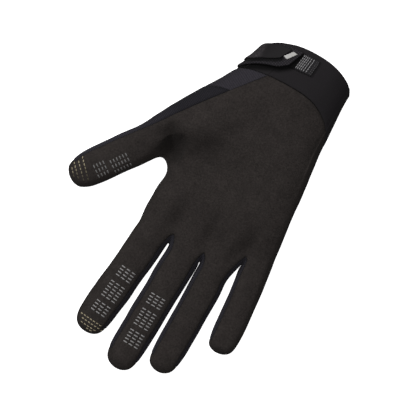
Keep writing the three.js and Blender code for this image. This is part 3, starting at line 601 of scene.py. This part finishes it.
def from_photo(x, y):
    return ((x + PHOTO_SHIFT[0]) * PIXEL - PLACE[0], (y + PHOTO_SHIFT[1]) * PIXEL - PLACE[1])


build_net()
cloth, cloth_faces, face_panels = smooth_net()
cloth_normals = vertex_normals(cloth, cloth_faces)


# Making pieces
def make_piece(name, co, faces, looks, replaces=(), slot=None):
    mesh = bpy.data.meshes.new(name)
    mesh.from_pydata(((np.asarray(co) + PLACE) * MM).tolist(), [], [tuple(map(int, f)) for f in faces])
    mesh.polygons.foreach_set("use_smooth", [True] * len(mesh.polygons))
    mesh.materials.append(looks)
    piece = bpy.data.objects.new(name, mesh)
    scene.collection.objects.link(piece)
    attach(piece, "root")
    if replaces:
        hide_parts(*replaces)
    return piece


# Materials
WAVES_PER_UNIT = math.tau / 20  # of the wave texture's own scale
WRIST_FADE = (0.016, 0.046)  # metres along the glove, where the side knits darken
SOCKET_NAMES = {"sheen": "Sheen Weight", "sheen_rough": "Sheen Roughness", "specular": "Specular IOR Level"}


class Look:
    """A material under construction: its nodes, and a principled shader with constants on its own sockets."""

    def __init__(self, name, color, roughness, **sockets):
        self.material = bpy.data.materials.new(name)
        self.material.use_nodes = True
        self.nodes = self.material.node_tree.nodes
        self.links = self.material.node_tree.links
        self.shader = self.nodes["Principled BSDF"]
        self.color = color
        self.shader.inputs["Base Color"].default_value = (*color, 1)
        self.shader.inputs["Roughness"].default_value = roughness
        for key, value in sockets.items():
            self.shader.inputs[SOCKET_NAMES[key]].default_value = value
        self.place = self.nodes.new("ShaderNodeTexCoord").outputs["Object"]

    def math(self, kind, a, b=None):
        node = self.nodes.new("ShaderNodeMath")
        node.operation = kind
        for socket, value in zip(node.inputs, (a, b)):
            if value is None:
                continue
            if isinstance(value, (int, float)):
                socket.default_value = value
            else:
                self.links.new(value, socket)
        return node.outputs[0]

    def noise(self, size, detail=2, rough=0.5):
        """Noise with grains of about that size in millimetres."""
        node = self.nodes.new("ShaderNodeTexNoise")
        node.inputs["Scale"].default_value = 1 / (size * MM)
        node.inputs["Detail"].default_value = detail
        node.inputs["Roughness"].default_value = rough
        self.links.new(self.place, node.inputs["Vector"])
        return node.outputs["Fac"]

    def ribs(self, pitch, turn=0.0, wobble=0.0):
        """Parallel ridges, pitch millimetres apart, across a direction turned in the palm's plane."""
        mapping = self.nodes.new("ShaderNodeMapping")
        mapping.inputs["Rotation"].default_value = (0, 0, turn)
        self.links.new(self.place, mapping.inputs["Vector"])
        node = self.nodes.new("ShaderNodeTexWave")
        node.inputs["Scale"].default_value = 1 / (pitch * MM) * WAVES_PER_UNIT
        node.inputs["Distortion"].default_value = wobble
        node.inputs["Detail Scale"].default_value = 2
        self.links.new(mapping.outputs[0], node.inputs["Vector"])
        return node.outputs["Fac"]

    def plus(self, a, b, share):
        return self.math("ADD", a, self.math("MULTIPLY", b, share))

    def attribute(self, name):
        node = self.nodes.new("ShaderNodeAttribute")
        node.attribute_name = name
        return node.outputs["Fac"]

    def shade(self, factor, dark, light):
        """The base colour times a factor that runs from dark to light."""
        ramp = self.nodes.new("ShaderNodeMapRange")
        ramp.inputs["To Min"].default_value = dark
        ramp.inputs["To Max"].default_value = light
        self.links.new(factor, ramp.inputs["Value"])
        return ramp.outputs[0]

    def tint(self, *factors):
        total = factors[0]
        for factor in factors[1:]:
            total = self.math("MULTIPLY", total, factor)
        scaled = self.nodes.new("ShaderNodeVectorMath")
        scaled.operation = "SCALE"
        scaled.inputs[0].default_value = self.color
        self.links.new(total, scaled.inputs["Scale"])
        self.links.new(scaled.outputs[0], self.shader.inputs["Base Color"])

    def bump(self, height, depth, strength=1.0):
        """Relief of that many millimetres."""
        node = self.nodes.new("ShaderNodeBump")
        node.inputs["Strength"].default_value = strength
        node.inputs["Distance"].default_value = depth * MM
        self.links.new(height, node.inputs["Height"])
        self.links.new(node.outputs[0], self.shader.inputs["Normal"])


def suede_look():
    look = Look("suede", (0.0262, 0.0222, 0.0207), 0.92, sheen=0.02, sheen_rough=0.5, specular=0.1)
    broad = look.shade(look.noise(7, 4), 0.7, 1.3)
    fine = look.shade(look.noise(1.2, 3, 0.7), 0.2, 1.8)
    # Darker towards the seams: painted shade in the seam grooves.
    seam = look.shade(look.math("MULTIPLY", look.attribute("seam"), 0.7), 0.8, 1.0)
    # The palm is darkened in the thumb's hollow and along its creases: painted shade.
    look.tint(broad, fine, seam, look.attribute("painted_hollow_shade"))
    look.bump(look.plus(look.noise(1.1, 3, 0.7), look.noise(0.4, 2), 0.5), 0.3, 0.8)
    return look.material


def knit_look(name, color, pitch=0.75, relief=0.12, sheen=0.03, contrast=0.25, wrist_shade=1.0):
    """wrist_shade is how much darker the cloth is towards the wrist."""
    look = Look(name, color, 0.88, sheen=sheen, sheen_rough=0.4, specular=0.12)
    apart = look.nodes.new("ShaderNodeSeparateXYZ")
    look.links.new(look.place, apart.inputs[0])
    fade = look.nodes.new("ShaderNodeMapRange")
    fade.inputs["From Min"].default_value, fade.inputs["From Max"].default_value = WRIST_FADE
    fade.inputs["To Min"].default_value, fade.inputs["To Max"].default_value = 1, wrist_shade
    look.links.new(apart.outputs["Y"], fade.inputs["Value"])
    across = look.ribs(pitch, 0.0, wobble=0.4)
    along = look.ribs(pitch * 0.8, math.pi / 2, wobble=0.4)
    loops = look.math("MULTIPLY", across, along)
    # Darker towards the seams: painted shade in the seam grooves.
    seam = look.shade(look.math("MULTIPLY", look.attribute("seam"), 0.5), 0.65, 1.0)
    broad = look.shade(look.noise(12, 2), 0.88, 1.12)
    look.tint(look.shade(loops, 1 - contrast, 1 + contrast * 1.6), broad, seam, fade.outputs[0])
    look.bump(look.plus(loops, look.noise(0.6), 0.4), relief, 0.8)
    return look.material


def gusset_look():
    look = Look("gusset_knit", (0.0262, 0.0238, 0.0295), 0.88, sheen=0.03, sheen_rough=0.4, specular=0.12)
    ribs = look.ribs(1.35, math.radians(118), wobble=0.8)
    look.tint(look.shade(ribs, 0.84, 1.18), look.shade(look.noise(1.2, 3), 0.75, 1.25))
    look.bump(look.plus(ribs, look.noise(0.5), 0.5), 0.2, 0.8)
    return look.material


def cuff_look():
    look = Look("neoprene", (0.0152, 0.0137, 0.0151), 0.85, sheen=0.02, sheen_rough=0.5, specular=0.1)
    # The cuff is darkened beside the strap's edge: a painted shadow of the strap.
    under = look.shade(look.attribute("under"), 0.1, 1.0)
    look.tint(look.shade(look.noise(14, 3), 0.92, 1.08), look.shade(look.noise(0.7, 2), 0.88, 1.12), under)
    look.bump(look.plus(look.noise(0.5, 2), look.noise(5, 2), 2.0), 0.07, 0.8)
    return look.material


def plain_look(name, color, roughness, grain=0.5, relief=0.04, under=None, speckle=None, **sockets):
    """under and speckle name the values that darken the colour and that speckle it lighter."""
    look = Look(name, color, roughness, **sockets)
    factors = [look.shade(look.noise(grain, 2), 0.88, 1.12), look.shade(look.noise(6, 2), 0.94, 1.06)]
    if under:
        factors.append(look.shade(look.attribute(under), 0.12, 1.0))
    if speckle:
        spots = look.math("POWER", look.noise(1.3, 3, 0.7), 2.2)
        factors.append(look.shade(look.math("MULTIPLY", look.attribute(speckle), spots), 1.0, 11.0))
    look.tint(*factors)
    look.bump(look.noise(grain, 2), relief, 0.7)
    return look.material


def strap_look():
    look = Look("strap_fabric", (0.0175, 0.0158, 0.0185), 0.85, sheen=0.03, sheen_rough=0.4, specular=0.15)
    weave = look.math("MULTIPLY", look.ribs(1.3, math.radians(20)), look.ribs(1.3, math.radians(110)))
    # The strap is darkened beside the moulded layer's edge: a painted shadow of that layer.
    under = look.shade(look.attribute("under"), 0.12, 1.0)
    look.tint(look.shade(weave, 0.7, 2.3), look.shade(look.noise(1.2), 0.75, 1.25), under)
    look.bump(weave, 0.25, 0.9)
    return look.material


LOOKS = {
    "palm_panel": (suede_look(), "suede"),
    "back_panel": (knit_look("knit", (0.0185, 0.0175, 0.0225)), "knit"),
    "wrist_gusset": (gusset_look(), "gusset_knit"),
    "cuff": (cuff_look(), "neoprene"),
}
LOOKS["cuff_tongue"] = LOOKS["cuff"]
side_knit = knit_look("side_knit", (0.027, 0.0252, 0.032), 1.0, 0.16, contrast=0.35, wrist_shade=0.6)
thumb_knit = knit_look("thumb_knit", (0.034, 0.0318, 0.04), 1.1, 0.2, contrast=0.4, wrist_shade=0.48)
for name in PANELS[2:5]:
    LOOKS[name] = (side_knit, "side_knit")
LOOKS["thumb_side_panel"] = (thumb_knit, "side_knit")


# Folds and creases of the palm: a line on the palm, its depth and half width in millimetres
def photo_line(*places):
    return [from_photo(*place) for place in places]


CREASES = [
    (photo_line((-71, 47), (-62, 36), (-55, 26)), 3.4, 6),
    (photo_line((-54, 40), (-40, 48), (-26, 50)), 1.6, 9.0),
    (photo_line((-74, 53), (-67, 40), (-61, 27)), 1.3, 1.8),
    (photo_line((-56, 46), (-53, 36), (-52, 26)), 1.0, 1.6),
    (photo_line((-64, 27), (-61, 21)), 0.45, 0.9),
    (photo_line((-61, 28), (-58, 22)), 0.45, 0.9),
    (photo_line((-58, 28), (-55.5, 23)), 0.4, 0.9),
    (photo_line((-37, 126), (-41, 118)), 0.35, 0.9),
]


PALM_FACING = (0.1, 0.5)  # how far up the cloth faces where creases begin and are full
WAVES = [(17, 0, 0.35), (7, 9, 0.12)]  # size, shift and height
REST_HEIGHT, REST_SHARE = 1.5, 0.15  # under this height the cloth is pressed, with this share of the shift


def sheet_creases(co, normals):
    """Presses the creases into the palm side."""
    facing = smoothstep(normals[:, 2], *PALM_FACING)
    shift = np.zeros(len(co))
    for line, depth, width in CREASES:
        shift -= depth * near_line(co, line, width) * facing
    return shift


def soft_waves(co):
    """Slight unevenness of stretched cloth."""
    waves = [sum(noise.noise(Vector(p / size + at)) * height for size, at, height in WAVES) for p in co]
    return np.array(waves)


shift = sheet_creases(cloth, cloth_normals) + soft_waves(cloth)
shift *= np.where(cloth[:, 2] < REST_HEIGHT, REST_SHARE, 1)
cloth = cloth + cloth_normals * shift[:, None]
cloth_normals = vertex_normals(cloth, cloth_faces)
rim_points = set(border_edges(cloth_faces).ravel().tolist())

GAP, SEAM_REACH = 0.3, 4
ROLL_DEPTH, ROLL_WIDTH = 0.22, 1.3
CUFF_PANELS = [PANELS.index(name) for name in ("cuff", "cuff_tongue")]


# Pieces over the cuff. A table's row: angle at the lower and upper edge, both edges' places, the lift
def wrist_normal(angle, y):
    step = 2.0
    around = wrist_point(angle + step, y) - wrist_point(angle - step, y)
    along = wrist_point(angle, y + step) - wrist_point(angle, y - step)
    up = np.cross(along, around)
    return up / np.linalg.norm(up)


STRAP_THICK, PAD_THICK, LABEL_THICK, LOOP_THICK, LAYER_GAP = 1.4, 0.8, 0.5, 0.9, 0.45
STRAP = [
    (238, 238, 0.372, 0.434, 0), (222, 222, 0.37, 0.43, 0), (206, 206, 0.368, 0.431, 0),
    (192, 192, 0.366, 0.438, 0), (180, 180, 0.368, 0.449, 0), (168, 168, 0.375, 0.458, 0.2),
    (156, 155, 0.384, 0.4655, 0.5), (145, 143, 0.395, 0.4715, 0.9), (135, 131, 0.404, 0.477, 1.2),
    (126, 121.5, 0.412, 0.481, 1.2), (116, 109, 0.4205, 0.484, 1.2), (108, 103, 0.438, 0.484, 1.2),
]
PAD = [
    (192, 192, 0.388, 0.433, 0), (180, 180, 0.39, 0.444, 0), (168, 168, 0.396, 0.4535, 0.2),
    (156, 155, 0.404, 0.461, 0.5), (145, 143, 0.4145, 0.467, 0.9), (135, 131, 0.4235, 0.4735, 1.2),
    (126, 121.5, 0.4345, 0.477, 1.2), (121.5, 115.6, 0.443, 0.4765, 1.2),
]
LABEL = [(119.4, 112.9, 0.4515, 0.474, 1.2), (113.6, 107.1, 0.448, 0.473, 1.2)]
LOOP = [
    (122, 122, 0.43, 0.479, 0), (113, 113, 0.432, 0.482, 0), (104, 104, 0.4345, 0.484, 0),
    (95, 95, 0.4375, 0.4855, 0), (86, 86, 0.441, 0.4865, 0),
]


# Painted shade in the thumb's hollow and along its creases: a line on the palm, how much darker, and how far
# it reaches
PAINTED_HOLLOW_LINES = [
    (photo_line((-72, 46), (-63, 38), (-57, 28)), 0.5, 6.5),
    (photo_line((-56, 42), (-42, 49), (-26, 50)), 0.28, 8),
    (photo_line((-88, 26), (-80, 30)), 0.2, 9),
]


def painted_hollow_shade(co):
    shade = np.ones(len(co))
    for line, darker, reach in PAINTED_HOLLOW_LINES:
        shade *= 1 - darker * near_line(co, line, reach, step=1.5)
    return shade


def table_edge(table, side):
    """Points on the cuff's skin along a table's lower (0) or upper (1) edge."""
    return [wrist_point(row[side], row[2 + side] * GLOVE_LENGTH) for row in table]


# Painted shadow under the strap's edge and under the moulded layer's edge: where it ends at the tip, and how
# near and far it reaches
TIP_SHADE_END = 0.7
CUFF_SHADE, PATCH_SHADE, STRAP_SHADE = (1.6, 4.8), (3, 5), (3.2, 4.2)
PAD_FOLD = (-6.5, -2)  # x where the painted highlight on the moulded layer's fold ends
strap_tip = [table_edge(STRAP, 0)[-1], table_edge(STRAP, 1)[-1]]
strap_tip[1] = lerp(strap_tip[0], strap_tip[1], TIP_SHADE_END)
strap_shadow = [table_edge(STRAP, 0), strap_tip]
pad_edge = [table_edge(PAD, 0)]


def close_shade(co, lines, near, far):
    """0 beside the lines and 1 further off: painted shade under an edge."""
    samples = [sample for line in lines for sample in line_samples(line)]
    return smoothstep(distances(co, samples), near, far)


def add_value(piece, name, values):
    piece.data.attributes.new(name, "FLOAT", "POINT").data.foreach_set("value", np.asarray(values, float))


def cut_panel(index):
    """One panel of the cloth as a closed wall, with its seam edges rolled inwards."""
    faces = cloth_faces[face_panels == index]
    used, faces = np.unique(faces, return_inverse=True)
    faces = faces.reshape(-1, 4)
    co, normals = cloth[used].copy(), cloth_normals[used]
    border = border_edges(faces)
    plain = set(rim_points)
    if index in CUFF_PANELS:
        plain |= set.intersection(*[set(cloth_faces[face_panels == k].ravel().tolist()) for k in CUFF_PANELS])
    seam_sides = [not (used[a] in plain and used[b] in plain) for a, b in border]
    seams = border[seam_sides]
    from_seam = distances(co, edge_samples(co, seams))
    sides = face_sides(faces)
    on_border = np.zeros(len(co), bool)
    on_border[seams.ravel()] = True
    inward = np.zeros_like(co)
    for a, b in ((0, 1), (1, 0)):
        start, end = sides[:, a], sides[:, b]
        keep = on_border[start] & ~on_border[end]
        np.add.at(inward, start[keep], co[end[keep]] - co[start[keep]])
    length = np.linalg.norm(inward, axis=1)
    inward[length > 0] /= length[length > 0, None]
    co += inward * GAP / 2
    co -= normals * (ROLL_DEPTH * (1 - smoothstep(from_seam, 0, ROLL_WIDTH)))[:, None]
    co[:, 2] = np.maximum(co[:, 2], 0)
    inner = co - normals * WALLS[index]
    shell = closed_wall(faces, len(co))
    name = PANELS[index]
    looks, slot = LOOKS[name]
    node = "wrist_gusset" if name == "cuff_tongue" else name
    piece = make_piece("cloth_" + name, np.vstack([co, inner]), shell, looks, [node], slot)
    add_value(piece, "seam", np.tile(np.minimum(from_seam, SEAM_REACH), 2))
    if name == "palm_panel":
        # Painted shade in the thumb's hollow, kept as a value on the palm's points.
        add_value(piece, "painted_hollow_shade", np.tile(painted_hollow_shade(co), 2))
    if index in CUFF_PANELS:
        # Painted shadow of the strap's edge on the cuff.
        add_value(piece, "under", np.tile(close_shade(co, strap_shadow, *CUFF_SHADE), 2))


for index in range(len(PANELS)):
    cut_panel(index)


# Small things that lie on the cloth
OVERHEAD = 100  # where the ray that finds the skin starts
skin = BVHTree.FromPolygons([tuple(p) for p in cloth], [tuple(map(int, f)) for f in cloth_faces])


def skin_at(x, y):
    hit, normal, _, _ = skin.ray_cast(Vector((x, y, OVERHEAD)), Vector((0, 0, -1)))
    return np.array(hit), np.array(normal)


def rounded_bar(length, width, height, sides=8, steps=3, end=0.12):
    """A pill with a flattened section, along x, its middle at the origin."""
    rings = []
    for step in range(-steps, steps + 1):
        turn = math.pi / 2 * step / steps
        x = (length - width) / 2 * np.sign(step) + width / 2 * math.sin(turn)
        if step:
            rings.append((x, math.cos(turn) if abs(step) < steps else end))
    co = []
    for x, size in rings:
        for k in range(sides):
            angle = math.tau * k / sides
            co.append((x, math.cos(angle) * width / 2 * size, math.sin(angle) * height / 2 * size))
    faces = []
    for ring in range(len(rings) - 1):
        for k in range(sides):
            a, b = ring * sides + k, ring * sides + (k + 1) % sides
            faces.append((a, b, b + sides, a + sides))
    faces.append(tuple(range(sides))[::-1])
    faces.append(tuple(range((len(rings) - 1) * sides, len(rings) * sides)))
    return np.array(co), faces


def bars_at(spots, shape):
    """Bars of one shape. Each spot is a place, the way up there, and the way along, which is laid flat."""
    bar, bar_faces = rounded_bar(*shape)
    co, faces = [], []
    for place, up, along in spots:
        along = along - up * (along @ up)
        along /= np.linalg.norm(along)
        base = len(bar) * len(co)
        co.append(bar @ np.stack([along, np.cross(up, along), up]) + place)
        faces += [tuple(i + base for i in face) for face in bar_faces]
    return np.vstack(co), faces


def lay_bars(places, length, width, height, sink):
    """Bars on the palm side. Each place is x, y and the bar's direction in the palm's plane."""
    spots = []
    for x, y, direction in places:
        place, up = skin_at(x, y)
        spots.append((place + up * (height / 2 - sink), up, np.array([direction[0], direction[1], 0.0])))
    return bars_at(spots, (length, width, height))


# Grip dashes: each block's start along the finger, rows and place across it, all as shares but the rows
DASH = dict(width=2.8, length=0.95, height=0.7, sink=0.3, across=3.85, along=2.15, columns=3)
GRIPS = {
    "fingers": (1, [
        (finger_models[0], [(0.39, 4, 0.09), (0.535, 6, 0.07), (0.728, 4, 0.05)]),
        (finger_models[1], [(0.404, 4, 0.01), (0.529, 6, 0.03), (0.7, 5, 0.06)]),
    ]),
    "thumb": (0.86, [(thumb_model, [(0.316, 6, 0.45), (0.582, 4, 0.3)])]),
}


def grip_places(narrow, grips):
    found = []
    for finger, blocks in grips:
        for start, rows, off in blocks:
            for row in range(rows):
                for column in range(DASH["columns"]):
                    along = start * finger["length"] + row * DASH["along"]
                    across = (column - 1) * DASH["across"] * narrow + off * finger["width"] / 2
                    place = finger["root"] + finger["axis"] * along + finger["side"] * across
                    found.append((place[0], place[1], finger["side"]))
    return found


silicone = {
    "fingers": plain_look("silicone", (0.24, 0.235, 0.235), 0.5, 0.4, 0.02, specular=0.3),
    # The thumb's dashes have a darker colour than the fingers' dashes.
    "thumb": plain_look("silicone_dim", (0.15, 0.147, 0.147), 0.5, 0.4, 0.02, specular=0.2),
}
for name, (narrow, grips) in GRIPS.items():
    places = grip_places(narrow, grips)
    co, faces = lay_bars(places, DASH["width"] * narrow, DASH["length"], DASH["height"], DASH["sink"])
    make_piece("grip_dashes_" + name, co, faces, silicone[name], slot="suede")

# Conductive threads of the index tip and the thumb's tip: lines on the photograph, with stitches along them
THREAD = dict(length=1.7, width=0.85, height=0.6, sink=0.2, pitch=2.35)
THREAD_LINES = [
    ((-58.5, -154), (-30, -156)), ((-57, -157.5), (-31, -159.5)), ((-54, -161.5), (-33, -163)),
    ((-48, -164.5), (-39, -165)),
    ((-135, -17.5), (-116, -37)), ((-137.5, -22), (-120.5, -39)), ((-139.5, -26.5), (-125.5, -40.5)),
    ((-140, -31), (-131, -40.5)),
]
THUMB_LINES, THREAD_FADE, FADE_SPAN = 4, 0.85, (0.1, 0.8)


def thread_places():
    """Each stitch's place and direction, and how light it is: the thumb's lines fade along their length."""
    found, light = [], []
    for number, ends in enumerate(THREAD_LINES):
        start, end = [np.array(from_photo(*place)) for place in ends]
        span = np.linalg.norm(end - start)
        direction = (end - start) / span
        count = int(span / THREAD["pitch"])
        for k in range(count):
            place = start + direction * THREAD["pitch"] * (k + 0.5 + 0.5 * (number % 2))
            found.append((place[0], place[1], direction))
            fades = THREAD_FADE if number >= THUMB_LINES else 0
            light.append(1 - fades * smoothstep(k / count, *FADE_SPAN))
    return found, light


conductive = plain_look("conductive_thread", (0.3, 0.26, 0.175), 0.5, 0.2, 0.02, under="under", specular=0.2)
places, lightness = thread_places()
co, faces = lay_bars(places, THREAD["length"], THREAD["width"], THREAD["height"], THREAD["sink"])
threads = make_piece("conductive_threads", co, faces, conductive, slot="suede")
add_value(threads, "under", np.repeat(lightness, len(co) // len(places)))


# Pieces wrapped over the cuff
EDGE_STEPS = np.array([0, 0.12, 0.35, 0.65])  # shares of a rounded edge
AHEAD = 0.02  # share across a row to the point that gives a bar's direction


def smooth_row(table, at):
    """A row of the table at a share of its length, on a smooth curve through the rows."""
    rows = np.array(table, float)
    spot = at * (len(rows) - 1)
    low = min(int(spot), len(rows) - 2)
    t = spot - low
    before = rows[max(low - 1, 0)]
    after = rows[min(low + 2, len(rows) - 1)]
    a, b = rows[low], rows[low + 1]
    slope_a, slope_b = (b - before) / 2, (after - a) / 2
    if len(rows) == 2:
        slope_a = slope_b = b - a
    return ((2 * t**3 - 3 * t**2 + 1) * a + (t**3 - 2 * t**2 + t) * slope_a
            + (3 * t**2 - 2 * t**3) * b + (t**3 - t**2) * slope_b)


def on_cuff(row, v):
    """A place on the cuff's skin and the way up there, at a share across a table's row."""
    low, high, start, end, _ = row
    angle, y = lerp(low, high, v), lerp(start, end, v) * GLOVE_LENGTH
    return wrist_point(angle, y), wrist_normal(angle, y)


def eased_shares(count, edge):
    """Shares from 0 to 1 with extra ones near both ends, for a rounded edge."""
    near = edge * EDGE_STEPS
    return np.concatenate([near, np.linspace(edge, 1 - edge, count), 1 - near[::-1]])


def wrap_piece(name, table, inner, thick, looks, slot, parts, edges, round_share=0.35):
    """A closed piece over the cuff. parts and edges: its divisions and rounded edges, along and across."""
    along_shares, cross_shares = eased_shares(parts[0], edges[0]), eased_shares(parts[1], edges[1])
    outer, under = [], []
    for u in along_shares:
        row = smooth_row(table, u)
        for v in cross_shares:
            falls = [min(1, min(share, 1 - share) / edge) for share, edge in zip((u, v), edges)]
            round_off = np.prod([math.sqrt(max(0, 1 - (1 - fall) ** 2)) for fall in falls])
            height = thick * (round_share + (1 - round_share) * round_off)
            place, up = on_cuff(row, v)
            outer.append(place + up * (inner + height + row[-1]))
            under.append(place + up * (inner + row[-1]))
    columns = len(cross_shares)
    faces = []
    for row in range(len(along_shares) - 1):
        for a in range(row * columns, (row + 1) * columns - 1):
            faces.append((a, a + columns, a + columns + 1, a + 1))
    faces = closed_wall(np.array(faces), len(outer))
    return make_piece(name, np.array(outer + under), faces, looks, [name.replace("worn_", "")], slot)


moulded = plain_look(
    "moulded_strap", (0.0108, 0.0098, 0.0106), 0.75, 0.6, 0.02, speckle="fold", specular=0.15)
tag = plain_look("grey_tag", (0.4, 0.395, 0.38), 0.6, 0.3, 0.03)
# The loop tape is darkened by its under value: a painted shadow of the strap's tip.
loops = plain_look("loop_tape", (0.019, 0.018, 0.0195), 0.95, 0.5, 0.25, under="under", specular=0.1)
tufts = plain_look("loop_tufts", (0.24, 0.235, 0.24), 0.9, 0.3, 0.1)
edging = plain_look("edge_stitches", (0.045, 0.043, 0.046), 0.8, 0.3, 0.05)
woven = strap_look()


def net_places(piece):
    return np.array([vertex.co for vertex in piece.data.vertices]) / MM - PLACE


def wrap_bars(name, table, height, rows, shape, looks, slot):
    """Short bars on a wrapped piece's outer face. A row: u, the first and last v, and its count of bars."""
    spots = []
    for u, first, last, count in rows:
        row = smooth_row(table, u)
        for k in range(count):
            v = lerp(first, last, (k + 0.5) / count)
            place, up = on_cuff(row, v)
            spots.append((place + up * (height + row[-1]), up, on_cuff(row, v + AHEAD)[0] - place))
    make_piece(name, *bars_at(spots, shape), looks, slot=slot)


# Tufts and stitches of the ribbed patch: rows, a bar's length, width and height, and how proud it stands
TUFT_ROWS = [(u, 0.08, 0.95, 6) for u in (0.6, 0.652, 0.704, 0.756, 0.808, 0.86)]
STITCH_ROWS = [(u, 0.05, 0.95, 7) for u in (0.915, 0.96)]
TUFT, TUFT_PROUD = (1.45, 0.72, 0.8), 0.05
STITCH, STITCH_PROUD = (0.9, 0.7, 0.5), 0.02
loop_top = LAYER_GAP + LOOP_THICK
pad_inner = LAYER_GAP + STRAP_THICK + LAYER_GAP

patch = wrap_piece("worn_loop_patch", LOOP, LAYER_GAP, LOOP_THICK, loops, "loop_tape", (60, 16), (0.02, 0.04))
# Painted shadow of the strap's tip on the loop patch.
add_value(patch, "under", close_shade(net_places(patch), strap_shadow, *PATCH_SHADE))
wrap_bars("loop_tufts", LOOP, loop_top + TUFT_PROUD, TUFT_ROWS, TUFT, tufts, "loop_tape")
wrap_bars("loop_stitches", LOOP, loop_top + STITCH_PROUD, STITCH_ROWS, STITCH, edging, "loop_tape")
strap = wrap_piece(
    "worn_closure_strap", STRAP, LAYER_GAP, STRAP_THICK, woven, "strap_fabric", (150, 22), (0.01, 0.06))
# Painted shadow of the moulded layer's edge on the strap.
add_value(strap, "under", close_shade(net_places(strap), pad_edge, *STRAP_SHADE))
pad = wrap_piece("worn_strap_pad", PAD, pad_inner, PAD_THICK, moulded, "moulded_strap", (90, 16), (0.02, 0.1))
# Light specks on the moulded layer's fold: a painted highlight.
add_value(pad, "fold", 1 - smoothstep(net_places(pad)[:, 0], *PAD_FOLD))
wrap_piece("worn_strap_label", LABEL, pad_inner, LABEL_THICK, tag, "grey_tag", (8, 14), (0.08, 0.04))


# Floor, light and camera, in metres
FLOOR_HALF, FLOOR_HEIGHT = 3.0, -0.0002
LIGHTS = [("key", (-0.95, 0.45, 0.9), 0.4, 9.6), ("top", (-0.12, 0.1, 1.6), 0.8, 13.5)]
WORLD_LIGHT = 0.11
SENSOR_WIDTH, CAMERA_DISTANCE = 36, 2.0
CAMERA_PLACE = (0.01504, -0.00016, CAMERA_DISTANCE + 0.018)
CLIP_NEAR, CLIP_FAR = 0.1, 10


def add_floor():
    mesh = bpy.data.meshes.new("floor")
    sides = ((-1, -1), (1, -1), (1, 1), (-1, 1))
    corners = [(x * FLOOR_HALF, y * FLOOR_HALF, FLOOR_HEIGHT) for x, y in sides]
    mesh.from_pydata(corners, [], [(0, 1, 2, 3)])
    floor = bpy.data.objects.new("floor", mesh)
    scene.collection.objects.link(floor)
    material = bpy.data.materials.new("floor")
    material.use_nodes = True
    sockets = material.node_tree.nodes["Principled BSDF"].inputs
    sockets["Base Color"].default_value = (0.9, 0.9, 0.9, 1)
    sockets["Roughness"].default_value = 0.9
    sockets["Specular IOR Level"].default_value = 0.1
    sockets["Emission Color"].default_value = (1, 1, 1, 1)
    sockets["Emission Strength"].default_value = 1.0
    mesh.materials.append(material)
    floor.visible_diffuse = floor.visible_glossy = False


def add_light(name, place, size, power):
    light = bpy.data.lights.new(name, "AREA")
    light.shape = "DISK"
    light.size = size
    light.energy = power
    lamp = bpy.data.objects.new(name, light)
    lamp.location = place
    lamp.rotation_mode = "QUATERNION"
    lamp.rotation_quaternion = (-Vector(place)).to_track_quat("-Z", "Y")
    scene.collection.objects.link(lamp)


def add_camera():
    lens = bpy.data.cameras.new("camera")
    lens.sensor_width = SENSOR_WIDTH
    lens.lens = SENSOR_WIDTH * CAMERA_DISTANCE / (IMAGE_SIDE * PIXEL * MM)
    lens.clip_start, lens.clip_end = CLIP_NEAR, CLIP_FAR
    camera = bpy.data.objects.new("camera", lens)
    camera.location = CAMERA_PLACE
    camera.rotation_euler = (0, 0, math.radians(PHOTO_TURN))
    scene.collection.objects.link(camera)
    scene.camera = camera


world = bpy.data.worlds.new("world")
world.use_nodes = True
world.node_tree.nodes["Background"].inputs["Color"].default_value = (1, 1, 1, 1)
world.node_tree.nodes["Background"].inputs["Strength"].default_value = WORLD_LIGHT
scene.world = world
add_floor()
for name, place, size, power in LIGHTS:
    add_light(name, place, size, power)
add_camera()
scene.view_settings.view_transform = "Standard"
